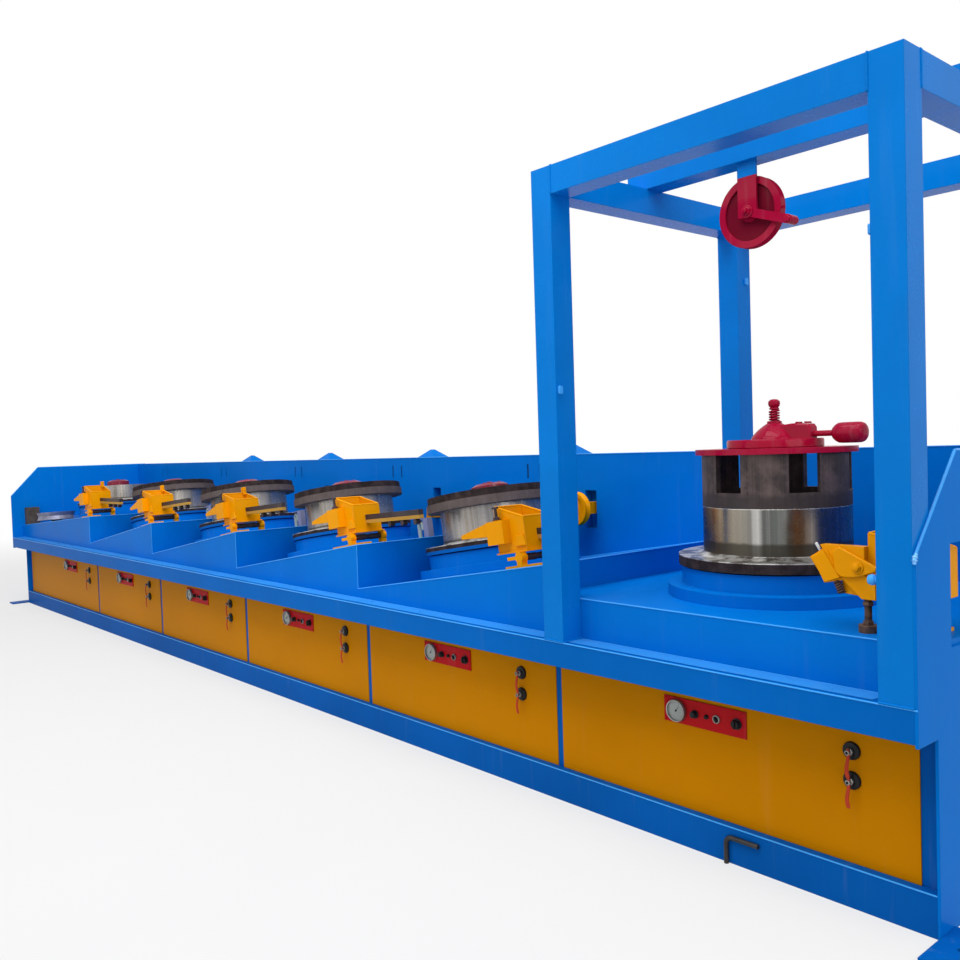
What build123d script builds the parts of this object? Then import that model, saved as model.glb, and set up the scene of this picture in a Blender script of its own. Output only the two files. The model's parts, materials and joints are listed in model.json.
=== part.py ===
from build123d import *
from math import atan2, cos, radians, sin, tan
import os

# Wire drawing machine: six drawing blocks on one long bed, with a gantry over the last block
# Millimetres, +Z up, X along the machine towards the gantry end, Y towards the back wall
# The origin is on the floor, under the middle of the machine's length and depth

os.makedirs("parts", exist_ok=True)

# Bays along the machine, counted from the gantry end
last_bay = 1650
bay_pitch = 1500
inclined_bays = 4
entry_run = 735

# Depth, measured from the front face of the upper body
base_setback = 132
panel_recess = 35
ledge_depth = 110
wall_clearance = 657
wall_thickness = 87

# Heights
base_height = 135
rail_bottom = 633
rail_top = 739
level_deck = 908
deck_low = 790
entry_low = 865
deck_high = 1035
wall_top = 1498
gantry_top = 2690

# Sheet and plate
plate = 10
panel_thickness = 6
panel_step = 4
post_width = 34
end_post_width = 63
fit = 0.3

# Front rail groove
groove_width = 6
groove_depth = 5
groove_inset = 14

# End plates
end_front_top = 1190
end_chamfer_run = 290
end_notch_drop = 10
window_front = 235
window_width = 400
window_drop = 21
window_top = 1212

# Foot plates
foot_length = 260
foot_width = 140
foot_overhang = 30
foot_thickness = 12
anchor_radius = 11

# Openings in the back wall
slot_offset = 574
slot_width = 90
slot_below = 14
slot_above = 69
slot_depth = 60
louvre_offset = 32
louvre_gap = 112
louvre_width = 14
louvre_bottom = 1350
louvre_height = 90
louvre_depth = 24

# Gantry
column = 110
column_inset = 90
beam_height = 115
pulley_beam_setback = 616

# Overhead pulley
pulley_offset = 953
pulley_radius = 145
pulley_clearance = 59
pulley_width = 34
pulley_groove = 14
pulley_rim = 29
pulley_hub = 40
pulley_web = 14
pulley_bore = 14
strap_width = 88
strap_thickness = 10
strap_gap = 6
strap_overlap = 22
lug_height = 61
keeper_radius = 18
keeper_reach = 195
keeper_drop = -20

# Blocks
block_setback = 756
block_offset = 480
stool_disc_radius = 453
stool_disc = 47
stool_radius = 392
stool_height = 120
running_gap = 6
bearing_radius = 120
flange_radius = 405
flange_height = 42
shoulder_radius = 332
shoulder_height = 12
drum_radius = 300
drum_height = 176
rim_radius = 370
rim_height = 46
collar_radius = 362
collar_height = 38
cap_radius = 108
cap_height = 46
cap_crown = 14

# Last block, with its cage
last_block_offset = 921
last_drum_height = 189
plain_ring = 61
cage_fingers = 6
cage_height = 154
cage_wall = 26
window_angle = 24
first_window = 23.3
cover_radius = 326
cover_thickness = 23
flyer_disc_radius = 195
flyer_disc = 36
hub_radius = 71
hub_top_radius = 26
hub_height = 67
stem_radius = 12
stem_height = 71
knob_radius = 24
housing_start = 71
housing_length = 107
housing_width = 60
housing_height = 61
flyer_rod_radius = 12
roller_start = 264
roller_radius = 41
roller_length = 130
roller_rise = 17

# Entry block
entry_drum_height = 140
entry_cap_height = 62

# Die boxes on the inclined decks
die_offset = 1325
near_die_offset = 1240
die_setback = 260
hopper_length = 190
hopper_depth = 180
hopper_wall = 8
hopper_left = 217
hopper_right = 152
die_clearance = 80
sole_thickness = 8
sole_margin = 10
base_plate = 12
base_plate_length = 290
base_plate_width = 80
base_plate_inset = 8
boss_radius = 25
boss_length = 34
boss_place = 65
boss_spacing = 210
pin_radius = 11
finger_length = 66
finger_height = 16
finger_thickness = 14
holder_length = 115
holder_depth = 46
holder_height = 110
holder_shift = 60
holder_rise = 40
arm_rise = 42
tip_reach = 325
tip_height = 18
tip_rise = 92
arm_thickness = 16
screw_radius = 7
screw_height = 38
washer_radius = 16
washer_height = 6

# Guide bars over the steps, with the rollers beneath them
bar_length = 515
near_bar_length = 200
bar_width = 30
bar_thickness = 30
bar_rise = 62
bar_fall = 37
rail_thickness = 20
roller_places = (0.45, 0.68, 0.91)
small_roller_radius = 15

# Die holder of the last block
last_die_offset = 150
last_die_setback = 310
last_hopper_length = 200
last_hopper_depth = 200
last_hopper_bottom = 1020
last_hopper_left = 1233
last_hopper_right = 1180
last_foot_margin = 20
clamp_front = 185
clamp_depth = 40
clamp_corners = ((0, 1092), (0, 1190), (155, 1190), (88, 1090))
clamp_boss_radius = 17
clamp_boss_proud = 10
clamp_boss_place = (27, 1120)
tongue_corners = ((75, 1075), (140, 1180), (193, 1146), (137, 1062))
stand_plate_corners = ((12, 1018), (-35, 1018), (-35, 1094), (93, 1094))
stand_rod_radius = 10
stand_base_radius = 30
stand_base_height = 24

# Dancer wheels at the wall slots
dancer_offset = 555
dancer_rise = 74
parked_offset = 900
parked_drop = 35
dancer_radius = 100
dancer_width = 44
dancer_groove = 15
dancer_rim = 22
dancer_hub = 28
dancer_web = 18
dancer_bore = 12
dancer_gap = 113
dancer_collar = 6
arm_width = 40
arm_height = 70
link_radius = 14
link_x = -36
link_z = -84
link_thickness = 10
retainer_radius = 20
retainer_thickness = 6

# Control plates and valves on the front panels
control_width = 370
control_height = 100
control_thickness = 5
control_drop = 70
control_inset = 768
last_control_inset = 807
valve_radius = 29
valve_thickness = 8
valve_heights = (514, 415)
valve_inset = 222
lever_length = 95
lever_width = 20
lever_thickness = 5
lever_standoff = 26
stem_pin_radius = 7

# Motor covers behind the wall
cover_width = 450
cover_depth = 380
cover_eaves = 1400
cover_peak = 1556
cover_tip = 24
cover_side_offset = 180

# Entry guide box and its wheel
guide_box_gap = 20
guide_box_length = 90
guide_box_width = 130
guide_box_setback = 195
guide_box_height = 190
guide_wheel_offset = -152
guide_wheel_setback = 300
guide_wheel_radius = 190
guide_wheel_width = 80
guide_wheel_groove = 14
guide_wheel_gap = 26
guide_spindle_radius = 28

# Pipe stands at the top of each incline
stand_inset = 35
stand_setback = 650
stand_length = 44
stand_width = 40
stand_height = 112
stand_cap_length = 112
stand_cap_thickness = 6
hook_radius = 10
hook_span = 38
hook_height = 76
hook_drop = 24
hook_gap = 26

# Foot pedal rod
pedal_radius = 9
pedal_offset = 765
pedal_height = 100
pedal_run = 135
pedal_bend = 27

# Places worked out from the sizes above
length = last_bay + (inclined_bays + 1) * bay_pitch + entry_run
right_end = length / 2
left_end = -length / 2
wall_setback = block_setback + wall_clearance
depth = wall_setback + wall_thickness
front = -depth / 2
rear = depth / 2
inner_right = right_end - plate
inner_left = left_end + plate
base_front = front + base_setback
panel_front = base_front + panel_recess
deck_front = front + ledge_depth
wall_front = front + wall_setback
joints = [right_end, right_end - last_bay]
for number in range(inclined_bays):
    joints.append(joints[-1] - bay_pitch)
joints.append(left_end)
entry_bay = 2 + inclined_bays
inclined = range(2, entry_bay + 1)
decks = {}
for bay in inclined:
    foot_x, foot_z = (inner_left, entry_low) if bay == entry_bay else (joints[bay], deck_low)
    decks[bay] = (foot_x, foot_z, atan2(deck_high - foot_z, joints[bay - 1] - foot_x))
flange_foot = stool_height + running_gap
drum_foot = flange_foot + flange_height + shoulder_height
drum_top = drum_foot + drum_height
last_drum_top = drum_foot + last_drum_height
parked_height = deck_high + dancer_radius - parked_drop
dancer_height = parked_height + dancer_rise
slot_bottom = parked_height - arm_height / 2 - slot_below
slot_height = dancer_height + arm_height / 2 + slot_above - slot_bottom
wheel_places = {bay: (parked_offset, parked_height) for bay in inclined}
wheel_places[2] = (dancer_offset, dancer_height)
die_places = {bay: die_offset for bay in inclined}
die_places[2] = near_die_offset
bar_lengths = {bay: bar_length for bay in inclined}
bar_lengths[2] = near_bar_length


def save(part, name):
    """Label a finished piece and write it under the name of its node."""
    part.label = name
    export_step(part, f"parts/{name}.step")


def bay_left(bay):
    """X of the left joint that a bay's fittings are measured from."""
    return joints[1] - (bay - 1) * bay_pitch


def deck_plane(bay, offset, setback):
    """Plane on a bay's inclined deck, with its normal leaning to the entry end."""
    foot_x, foot_z, lean = decks[bay]
    x = bay_left(bay) + offset
    return Plane(
        origin=(x, front + setback, foot_z + (x - foot_x) * tan(lean)),
        x_dir=(cos(lean), 0, sin(lean)),
        z_dir=(-sin(lean), 0, cos(lean)),
    )


def box_from(x0, x1, y0, y1, z0, z1):
    """Sketch plane and sizes of an upright box between two corners."""
    return Plane.XY.offset(z0), ((x0 + x1) / 2, (y0 + y1) / 2), (x1 - x0, y1 - y0), z1 - z0


# Base frame with its foot plates
with BuildPart() as base_frame:
    plane, centre, size, height = box_from(inner_left, inner_right, base_front, rear, 0, base_height)
    with BuildSketch(plane):
        with Locations(centre):
            Rectangle(*size)
    extrude(amount=height)
save(base_frame.part, "base_frame")

foot_places = []
for x in (left_end - foot_width / 2, right_end + foot_width / 2):
    for y in (front - foot_overhang + foot_length / 2, rear - foot_length / 2):
        foot_places.append((x, y))
with BuildPart() as foot_plates:
    with BuildSketch(Plane.XY):
        with Locations(*foot_places):
            Rectangle(foot_width, foot_length)
            Circle(anchor_radius, mode=Mode.SUBTRACT)
    extrude(amount=foot_thickness)
save(foot_plates.part, "foot_plates")

# Machine bed behind the panels
with BuildPart() as machine_bed:
    with BuildSketch(Plane.YZ.offset(inner_left)):
        with BuildLine():
            Polyline(
                (panel_front + panel_thickness, base_height),
                (rear - panel_thickness, base_height),
                (rear - panel_thickness, rail_bottom),
                (rear, rail_bottom),
                (rear, rail_top),
                (deck_front, rail_top),
                (deck_front, rail_bottom),
                (panel_front + panel_thickness, rail_bottom),
                close=True,
            )
        make_face()
    extrude(amount=inner_right - inner_left)
save(machine_bed.part, "machine_bed")

# Posts between the front panels
post_places = []
for x in joints[1:-1]:
    post_places.append((x, post_width))
post_places.append((inner_right - end_post_width / 2, end_post_width))
post_places.append((inner_left + end_post_width / 2, end_post_width))
with BuildPart() as panel_posts:
    with BuildSketch(Plane.XY.offset(base_height)):
        for x, width in post_places:
            with Locations((x, panel_front + (panel_step + panel_thickness) / 2)):
                Rectangle(width, panel_thickness - panel_step)
    extrude(amount=rail_bottom - base_height)
save(panel_posts.part, "panel_posts")

# Front and rear panels, one pair a bay
panel_spans = []
for right, left in zip(joints[:-1], joints[1:]):
    x1 = right - post_width / 2 if right < right_end else inner_right - end_post_width
    x0 = left + post_width / 2 if left > left_end else inner_left + end_post_width
    panel_spans.append((x0, x1))
with BuildPart() as front_panels:
    with BuildSketch(Plane.XY.offset(base_height)):
        for x0, x1 in panel_spans:
            with Locations(((x0 + x1) / 2, panel_front + panel_thickness / 2)):
                Rectangle(x1 - x0, panel_thickness)
    extrude(amount=rail_bottom - base_height)
save(front_panels.part, "front_panels")

with BuildPart() as rear_panels:
    with BuildSketch(Plane.XY.offset(base_height)):
        for x0, x1 in panel_spans:
            with Locations(((x0 + x1) / 2, rear - panel_thickness / 2)):
                Rectangle(x1 - x0, panel_thickness)
    extrude(amount=rail_bottom - base_height)
save(rear_panels.part, "rear_panels")

# Front rail with the groove along its top
with BuildPart() as top_rail:
    with BuildSketch(Plane.YZ.offset(inner_left)):
        with Locations((front + ledge_depth / 2, (rail_bottom + rail_top) / 2)):
            Rectangle(ledge_depth, rail_top - rail_bottom)
        with Locations((front + groove_inset + groove_width / 2, rail_top - groove_depth / 2)):
            Rectangle(groove_width, groove_depth, mode=Mode.SUBTRACT)
    extrude(amount=inner_right - inner_left)
save(top_rail.part, "top_rail")

# Level deck under the last block
with BuildPart() as deck_1:
    with BuildSketch(Plane.XY.offset(rail_top)):
        with Locations(((joints[1] + inner_right) / 2, (deck_front + wall_front) / 2)):
            Rectangle(inner_right - joints[1], wall_front - deck_front)
    extrude(amount=level_deck - rail_top)
save(deck_1.part, "deck_1")

# Inclined decks, each with its step down to the next bay
for bay, (foot_x, foot_z, lean) in decks.items():
    with BuildPart() as deck:
        with BuildSketch(Plane.XZ.offset(-wall_front)):
            with BuildLine():
                Polyline(
                    (joints[bay - 1], rail_top),
                    (joints[bay - 1], deck_high),
                    (foot_x, foot_z),
                    (foot_x, rail_top),
                    close=True,
                )
            make_face()
        extrude(amount=wall_front - deck_front)
    save(deck.part, f"deck_{bay}")

# Back wall with the dancer slots and the louvre pairs
with BuildPart() as back_wall:
    with BuildSketch(Plane.XY.offset(rail_top)):
        with Locations((0, (wall_front + rear) / 2)):
            Rectangle(inner_right - inner_left, rear - wall_front)
    extrude(amount=wall_top - rail_top)
    with BuildSketch(Plane.XZ.offset(-wall_front)):
        for bay in inclined:
            with Locations((bay_left(bay) + slot_offset, slot_bottom + slot_height / 2)):
                Rectangle(slot_width, slot_height)
    extrude(amount=-slot_depth, mode=Mode.SUBTRACT)
    with BuildSketch(Plane.XZ.offset(-wall_front)):
        for bay in inclined:
            for side in (0, louvre_gap):
                x = bay_left(bay) + louvre_offset + side
                with Locations((x, louvre_bottom + louvre_height / 2)):
                    Rectangle(louvre_width, louvre_height)
    extrude(amount=-louvre_depth, mode=Mode.SUBTRACT)
save(back_wall.part, "back_wall")

# End plates, cut back at the foot and chamfered at the top
end_notch = rail_bottom - end_notch_drop
window_bottom = level_deck - window_drop
end_corners = [
    (base_front, 0),
    (rear, 0),
    (rear, wall_top),
    (front + end_chamfer_run, wall_top),
    (front, end_front_top),
    (front, end_notch),
    (base_front, end_notch),
]
for name, x in (("end_plate_left", left_end), ("end_plate_right", inner_right)):
    with BuildPart() as end_plate:
        with BuildSketch(Plane.YZ.offset(x)):
            with BuildLine():
                Polyline(*end_corners, close=True)
            make_face()
            if x > 0:
                y = front + window_front + window_width / 2
                with Locations((y, (window_bottom + window_top) / 2)):
                    Rectangle(window_width, window_top - window_bottom, mode=Mode.SUBTRACT)
        extrude(amount=plate)
    save(end_plate.part, name)

# Gantry columns, beams and the beam that carries the pulley
gantry_left = joints[1] + column_inset
gantry_right = inner_right
beam_bottom = gantry_top - beam_height
with BuildPart() as gantry_columns:
    for y, foot in ((front + column / 2, rail_top), (wall_front - column / 2, level_deck)):
        with BuildSketch(Plane.XY.offset(foot)):
            for x in (gantry_left + column / 2, gantry_right - column / 2):
                with Locations((x, y)):
                    Rectangle(column, column)
        extrude(amount=gantry_top - foot)
save(gantry_columns.part, "gantry_columns")

with BuildPart() as gantry_beams:
    with BuildSketch(Plane.XY.offset(beam_bottom)):
        for y in (front + column / 2, wall_front - column / 2):
            with Locations(((gantry_left + gantry_right) / 2, y)):
                Rectangle(gantry_right - gantry_left - 2 * column, column)
        for x in (gantry_left + column / 2, gantry_right - column / 2):
            with Locations((x, (front + wall_front) / 2)):
                Rectangle(column, wall_front - front - 2 * column)
    extrude(amount=beam_height)
save(gantry_beams.part, "gantry_beams")

# Beam on top of the gantry, with the lug that holds the pulley's strap
pulley_x = right_end - pulley_offset
pulley_height = gantry_top - pulley_clearance - pulley_radius
pulley_y = front + pulley_beam_setback + column / 2
strap_back = pulley_y - pulley_width / 2 - strap_gap
lug_foot = gantry_top - lug_height
with BuildPart() as pulley_beam:
    with BuildSketch(Plane.XY.offset(gantry_top)):
        with Locations(((gantry_left + gantry_right) / 2, pulley_y)):
            Rectangle(gantry_right - gantry_left, column)
    extrude(amount=column)
    with BuildSketch(Plane.XZ.offset(-strap_back)):
        with Locations((pulley_x, gantry_top - lug_height / 2)):
            Rectangle(strap_width, lug_height)
    extrude(amount=strap_thickness)
save(pulley_beam.part, "pulley_beam")

# Pulley hanger: the strap down to the shaft and the arm with the keeper
strap_foot = pulley_height - strap_overlap
with BuildPart() as pulley_hanger:
    with BuildSketch(Plane.XZ.offset(-strap_back)):
        with Locations((pulley_x, (strap_foot + lug_foot) / 2)):
            Rectangle(strap_width, lug_foot - strap_foot)
    extrude(amount=strap_thickness)
    with BuildSketch(Plane.XZ.offset(-strap_back)):
        with Locations((pulley_x, pulley_height)):
            with PolarLocations(keeper_reach / 2, 1, start_angle=keeper_drop):
                SlotCenterToCenter(keeper_reach, 2 * keeper_radius)
    extrude(amount=strap_thickness)
    with BuildSketch(Plane.XZ.offset(-strap_back)):
        with Locations((pulley_x, pulley_height)):
            Circle(pulley_bore)
            with PolarLocations(keeper_reach, 1, start_angle=keeper_drop):
                Circle(keeper_radius)
    extrude(amount=-(pulley_width + strap_gap))
save(pulley_hanger.part, "pulley_hanger")


def wheel_section(radius, width, groove, rim, hub, web, bore):
    """Corners of half a grooved wheel with a recessed web, in the plane of X and Y."""
    return [
        (bore + fit, -width / 2),
        (hub, -width / 2),
        (hub, -web / 2),
        (radius - rim, -web / 2),
        (radius - rim, -width / 2),
        (radius, -width / 2),
        (radius - groove, 0),
        (radius, width / 2),
        (radius - rim, width / 2),
        (radius - rim, web / 2),
        (hub, web / 2),
        (hub, width / 2),
        (bore + fit, width / 2),
    ]


# Overhead pulley
pulley_section = wheel_section(
    pulley_radius, pulley_width, pulley_groove, pulley_rim, pulley_hub, pulley_web, pulley_bore
)
with BuildPart() as overhead_pulley:
    with BuildSketch(Plane.XY):
        with BuildLine():
            Polyline(*pulley_section, close=True)
        make_face()
    revolve(axis=Axis.Y)
overhead_pulley.part.location = Location((pulley_x, pulley_y, pulley_height))
save(overhead_pulley.part, "overhead_pulley")

# Planes of the six blocks, on top of the deck
last_block_x = right_end - last_block_offset
block_y = front + block_setback
block_planes = {1: Plane(origin=(last_block_x, block_y, level_deck))}
for bay in inclined:
    block_planes[bay] = deck_plane(bay, block_offset, block_setback)

# Stools under the blocks, each with the bearing collar that its drum turns on
with BuildPart() as block_stools:
    for plane in block_planes.values():
        with BuildSketch(plane):
            Circle(stool_disc_radius)
        extrude(amount=stool_disc)
        with BuildSketch(plane):
            Circle(stool_radius)
        extrude(amount=stool_height)
        with BuildSketch(plane):
            Circle(bearing_radius)
        extrude(amount=flange_foot - fit)
save(block_stools.part, "block_stools")

# Drums: flange, shoulder and polished body, with a wider rim on the inclined blocks
for bay, plane in block_planes.items():
    outline = [
        (0, flange_foot),
        (flange_radius, flange_foot),
        (flange_radius, flange_foot + flange_height),
        (shoulder_radius, flange_foot + flange_height),
        (drum_radius, drum_foot),
    ]
    if bay == 1:
        outline += [(drum_radius, last_drum_top), (0, last_drum_top)]
    elif bay == entry_bay:
        outline += [(drum_radius, drum_foot + entry_drum_height), (0, drum_foot + entry_drum_height)]
    else:
        outline += [
            (drum_radius, drum_top),
            (rim_radius, drum_top),
            (rim_radius, drum_top + rim_height),
            (collar_radius, drum_top + rim_height),
            (collar_radius, drum_top + rim_height + collar_height),
            (0, drum_top + rim_height + collar_height),
        ]
    with BuildPart() as drum:
        with BuildSketch(Plane.XZ):
            with BuildLine():
                Polyline(*outline, close=True)
            make_face()
        revolve(axis=Axis.Z)
    drum.part.location = plane.location
    save(drum.part, f"block_{bay}_drum")

# Cage of the last block: a plain ring with fingers standing on it
window_chord = 2 * drum_radius * sin(radians(window_angle / 2))
with BuildPart() as cage:
    with BuildSketch(block_planes[1].offset(last_drum_top)):
        Circle(drum_radius)
        Circle(drum_radius - cage_wall, mode=Mode.SUBTRACT)
    extrude(amount=plain_ring + cage_height)
    with BuildSketch(block_planes[1].offset(last_drum_top + plain_ring)):
        with PolarLocations(drum_radius - cage_wall / 2, cage_fingers, start_angle=first_window):
            Rectangle(3 * cage_wall, window_chord)
    extrude(amount=cage_height, mode=Mode.SUBTRACT)
save(cage.part, "block_1_cage")

cover_foot = last_drum_top + plain_ring + cage_height
with BuildPart() as block_cover:
    with BuildSketch(block_planes[1].offset(cover_foot)):
        Circle(cover_radius)
    extrude(amount=cover_thickness)
save(block_cover.part, "block_1_cap")

# Flyer on the last block, with its spring stem, housing and roller
disc_foot = cover_foot + cover_thickness + fit
disc_top = disc_foot + flyer_disc
with BuildPart() as flyer:
    with BuildSketch(block_planes[1].offset(disc_foot)):
        Circle(flyer_disc_radius)
    extrude(amount=flyer_disc)
    with BuildSketch(block_planes[1].offset(disc_top)):
        Circle(hub_radius)
    with BuildSketch(block_planes[1].offset(disc_top + hub_height)):
        Circle(hub_top_radius)
    loft()
    with BuildSketch(block_planes[1].offset(disc_top)):
        Circle(stem_radius)
    extrude(amount=hub_height + stem_height)
    with Locations((last_block_x, block_y, level_deck + disc_top + hub_height + stem_height)):
        Sphere(knob_radius)
    with BuildSketch(block_planes[1].offset(disc_top)):
        with Locations((housing_start + housing_length / 2, 0)):
            Rectangle(housing_length, housing_width)
    extrude(amount=housing_height)
    roller_z = level_deck + disc_top + roller_rise
    with BuildSketch(Plane.YZ.offset(last_block_x + housing_start)):
        with Locations((block_y, roller_z)):
            Circle(flyer_rod_radius)
    extrude(amount=roller_start - housing_start)
    with BuildSketch(Plane.YZ.offset(last_block_x + roller_start)):
        with Locations((block_y, roller_z)):
            Circle(roller_radius)
    extrude(amount=roller_length)
save(flyer.part, "flyer")

# Caps of the inclined blocks, bevelled round the top
for bay in inclined:
    foot = drum_foot + entry_drum_height if bay == entry_bay else drum_top + rim_height + collar_height
    top = foot + (entry_cap_height if bay == entry_bay else cap_height)
    with BuildPart() as cap:
        with BuildSketch(Plane.XZ):
            with BuildLine():
                Polyline(
                    (0, foot),
                    (cap_radius, foot),
                    (cap_radius, top - cap_crown),
                    (cap_radius - 2 * cap_crown, top),
                    (0, top),
                    close=True,
                )
            make_face()
        revolve(axis=Axis.Z)
    cap.part.location = block_planes[bay].location
    save(cap.part, f"block_{bay}_cap")

# Die boxes: sole, hopper with a sloping rim, and the holder with its pointed arm
sole_foot = die_clearance - sole_thickness
hopper_end = hopper_length / 2
holder_foot = die_clearance + holder_rise
holder_top = holder_foot + holder_height
holder_right = holder_length / 2 - holder_shift
holder_left = holder_right - holder_length
for bay in inclined:
    plane = deck_plane(bay, die_places[bay], die_setback)
    side = Plane(origin=plane.origin, x_dir=plane.x_dir, z_dir=-plane.y_dir)
    with BuildPart() as die_box:
        with BuildSketch(plane.offset(sole_foot)):
            Rectangle(hopper_length + 2 * sole_margin, hopper_depth + 2 * sole_margin)
        extrude(amount=sole_thickness)
        with BuildSketch(side):
            with BuildLine():
                Polyline(
                    (-hopper_end, die_clearance),
                    (hopper_end, die_clearance),
                    (hopper_end, die_clearance + hopper_right),
                    (-hopper_end, die_clearance + hopper_left),
                    close=True,
                )
            make_face()
        extrude(amount=hopper_depth / 2, both=True)
        with BuildSketch(plane.offset(die_clearance)):
            Rectangle(hopper_length - 2 * hopper_wall, hopper_depth - 2 * hopper_wall)
        extrude(amount=hopper_left, mode=Mode.SUBTRACT)
        with BuildSketch(side.offset(hopper_depth / 2)):
            with BuildLine():
                Polyline(
                    (holder_left, holder_foot),
                    (holder_right, holder_foot),
                    (holder_right, holder_top),
                    (holder_left, holder_top),
                    close=True,
                )
            make_face()
        extrude(amount=holder_depth)
        with BuildSketch(side.offset(hopper_depth / 2 + (holder_depth - arm_thickness) / 2)):
            with BuildLine():
                Polyline(
                    (holder_left, holder_foot + arm_rise),
                    (holder_left, holder_top),
                    (-tip_reach, die_clearance + tip_rise + tip_height),
                    (-tip_reach, die_clearance + tip_rise),
                    close=True,
                )
            make_face()
        extrude(amount=arm_thickness)
        screw = (-holder_shift, -(hopper_depth + holder_depth) / 2)
        with BuildSketch(plane.offset(holder_top)):
            with Locations(screw):
                Circle(washer_radius)
        extrude(amount=washer_height)
        with BuildSketch(plane.offset(holder_top)):
            with Locations(screw):
                Circle(screw_radius)
        extrude(amount=screw_height)
    save(die_box.part, f"die_box_{bay}")

# Pedestals under the die boxes: base plate, two bosses with their pin, and a finger
boss_z = sole_foot - boss_radius
with BuildPart() as die_pedestals:
    for bay in inclined:
        plane = deck_plane(bay, die_places[bay], die_setback)
        side = Plane(origin=plane.origin, x_dir=plane.x_dir, z_dir=-plane.y_dir)
        near = (boss_spacing + boss_length) / 2
        plate_end = (bay_pitch - die_places[bay]) / cos(decks[bay][2]) - base_plate_inset
        with BuildSketch(plane):
            with Locations((plate_end - base_plate_length / 2, base_plate_width / 2 - near)):
                Rectangle(base_plate_length, base_plate_width)
        extrude(amount=base_plate)
        with BuildSketch(plane):
            with Locations((boss_place, 0)):
                with GridLocations(0, boss_spacing, 1, 2):
                    Rectangle(boss_length, boss_length)
        extrude(amount=sole_foot)
        for offset in (near, near - boss_spacing):
            with BuildSketch(side.offset(offset)):
                with Locations((boss_place, boss_z)):
                    Circle(boss_radius)
            extrude(amount=-boss_length)
        with BuildSketch(side):
            with Locations((boss_place, boss_z)):
                Circle(pin_radius)
        extrude(amount=boss_spacing / 2, both=True)
        with BuildSketch(side.offset(near)):
            with Locations((boss_place - finger_length / 2 - boss_radius / 2, boss_z)):
                Rectangle(finger_length, finger_height)
        extrude(amount=-finger_thickness)
save(die_pedestals.part, "die_pedestals")

# Guide bars over the steps: dark bars with rollers, and yellow rails between them
bar_foot = die_clearance + bar_rise
with BuildPart() as guide_bars:
    for bay in inclined:
        plane = deck_plane(bay, die_places[bay], die_setback)
        side = Plane(origin=plane.origin, x_dir=plane.x_dir, z_dir=-plane.y_dir)
        bar_end = hopper_end + bar_lengths[bay]
        fall = bar_fall * bar_lengths[bay] / bar_length
        with BuildSketch(side):
            with BuildLine():
                Polyline(
                    (hopper_end, bar_foot),
                    (bar_end, bar_foot - fall),
                    (bar_end, bar_foot - fall + bar_thickness),
                    (hopper_end, bar_foot + bar_thickness),
                    close=True,
                )
            make_face()
            for share in roller_places:
                roller_drop = fall * share + rail_thickness + small_roller_radius + fit
                with Locations((hopper_end + bar_lengths[bay] * share, bar_foot - roller_drop)):
                    Circle(small_roller_radius)
        extrude(amount=bar_width / 2, both=True)
save(guide_bars.part, "guide_bars")

with BuildPart() as guide_rails:
    for bay in inclined:
        plane = deck_plane(bay, die_places[bay], die_setback)
        side = Plane(origin=plane.origin, x_dir=plane.x_dir, z_dir=-plane.y_dir)
        bar_end = hopper_end + bar_lengths[bay]
        fall = bar_fall * bar_lengths[bay] / bar_length
        with BuildSketch(side):
            with BuildLine():
                Polyline(
                    (hopper_end, bar_foot - rail_thickness),
                    (bar_end, bar_foot - fall - rail_thickness),
                    (bar_end, bar_foot - fall),
                    (hopper_end, bar_foot),
                    close=True,
                )
            make_face()
        extrude(amount=bar_width / 2, both=True)
save(guide_rails.part, "guide_rails")

# Die holder of the last block: hopper on its foot, clamp, tongue and threaded stand
die_x = right_end - last_die_offset
die_y = front + last_die_setback
die_left = die_x - last_hopper_length / 2
die_right = die_x + last_hopper_length / 2
clamp_y = front + clamp_front
with BuildPart() as last_die:
    with BuildSketch(Plane.XY.offset(level_deck)):
        with Locations((die_x, die_y)):
            Rectangle(last_hopper_length - last_foot_margin, last_hopper_depth - last_foot_margin)
    extrude(amount=base_plate)
    with BuildSketch(Plane.XY.offset(level_deck)):
        with Locations((die_x, die_y)):
            Rectangle(last_hopper_length / 2, last_hopper_depth / 2)
    extrude(amount=last_hopper_bottom - level_deck)
    with BuildSketch(Plane.XZ.offset(-die_y)):
        with BuildLine():
            Polyline(
                (die_left, last_hopper_bottom),
                (die_right, last_hopper_bottom),
                (die_right, last_hopper_right),
                (die_left, last_hopper_left),
                close=True,
            )
        make_face()
    extrude(amount=last_hopper_depth / 2, both=True)
    with BuildSketch(Plane.XY.offset(last_hopper_bottom + hopper_wall)):
        with Locations((die_x, die_y)):
            Rectangle(last_hopper_length - 2 * hopper_wall, last_hopper_depth - 2 * hopper_wall)
    extrude(amount=last_hopper_left - last_hopper_bottom, mode=Mode.SUBTRACT)
    with BuildSketch(Plane.XZ.offset(-clamp_y - clamp_depth)):
        for corners in (clamp_corners, tongue_corners, stand_plate_corners):
            with BuildLine():
                Polyline(*[(die_left - x, z) for x, z in corners], close=True)
            make_face()
    extrude(amount=clamp_depth)
    boss_x, clamp_boss_z = clamp_boss_place
    with BuildSketch(Plane.XZ.offset(-clamp_y)):
        with Locations((die_left - boss_x, clamp_boss_z)):
            Circle(clamp_boss_radius)
    extrude(amount=clamp_boss_proud)
    stand = (die_left, clamp_y + clamp_depth / 2)
    with BuildSketch(Plane.XY.offset(level_deck)):
        with Locations(stand):
            Circle(stand_base_radius)
    extrude(amount=stand_base_height)
    with BuildSketch(Plane.XY.offset(level_deck)):
        with Locations(stand):
            Circle(stand_rod_radius)
    extrude(amount=last_hopper_bottom - level_deck)
save(last_die.part, "die_box_1")

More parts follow.
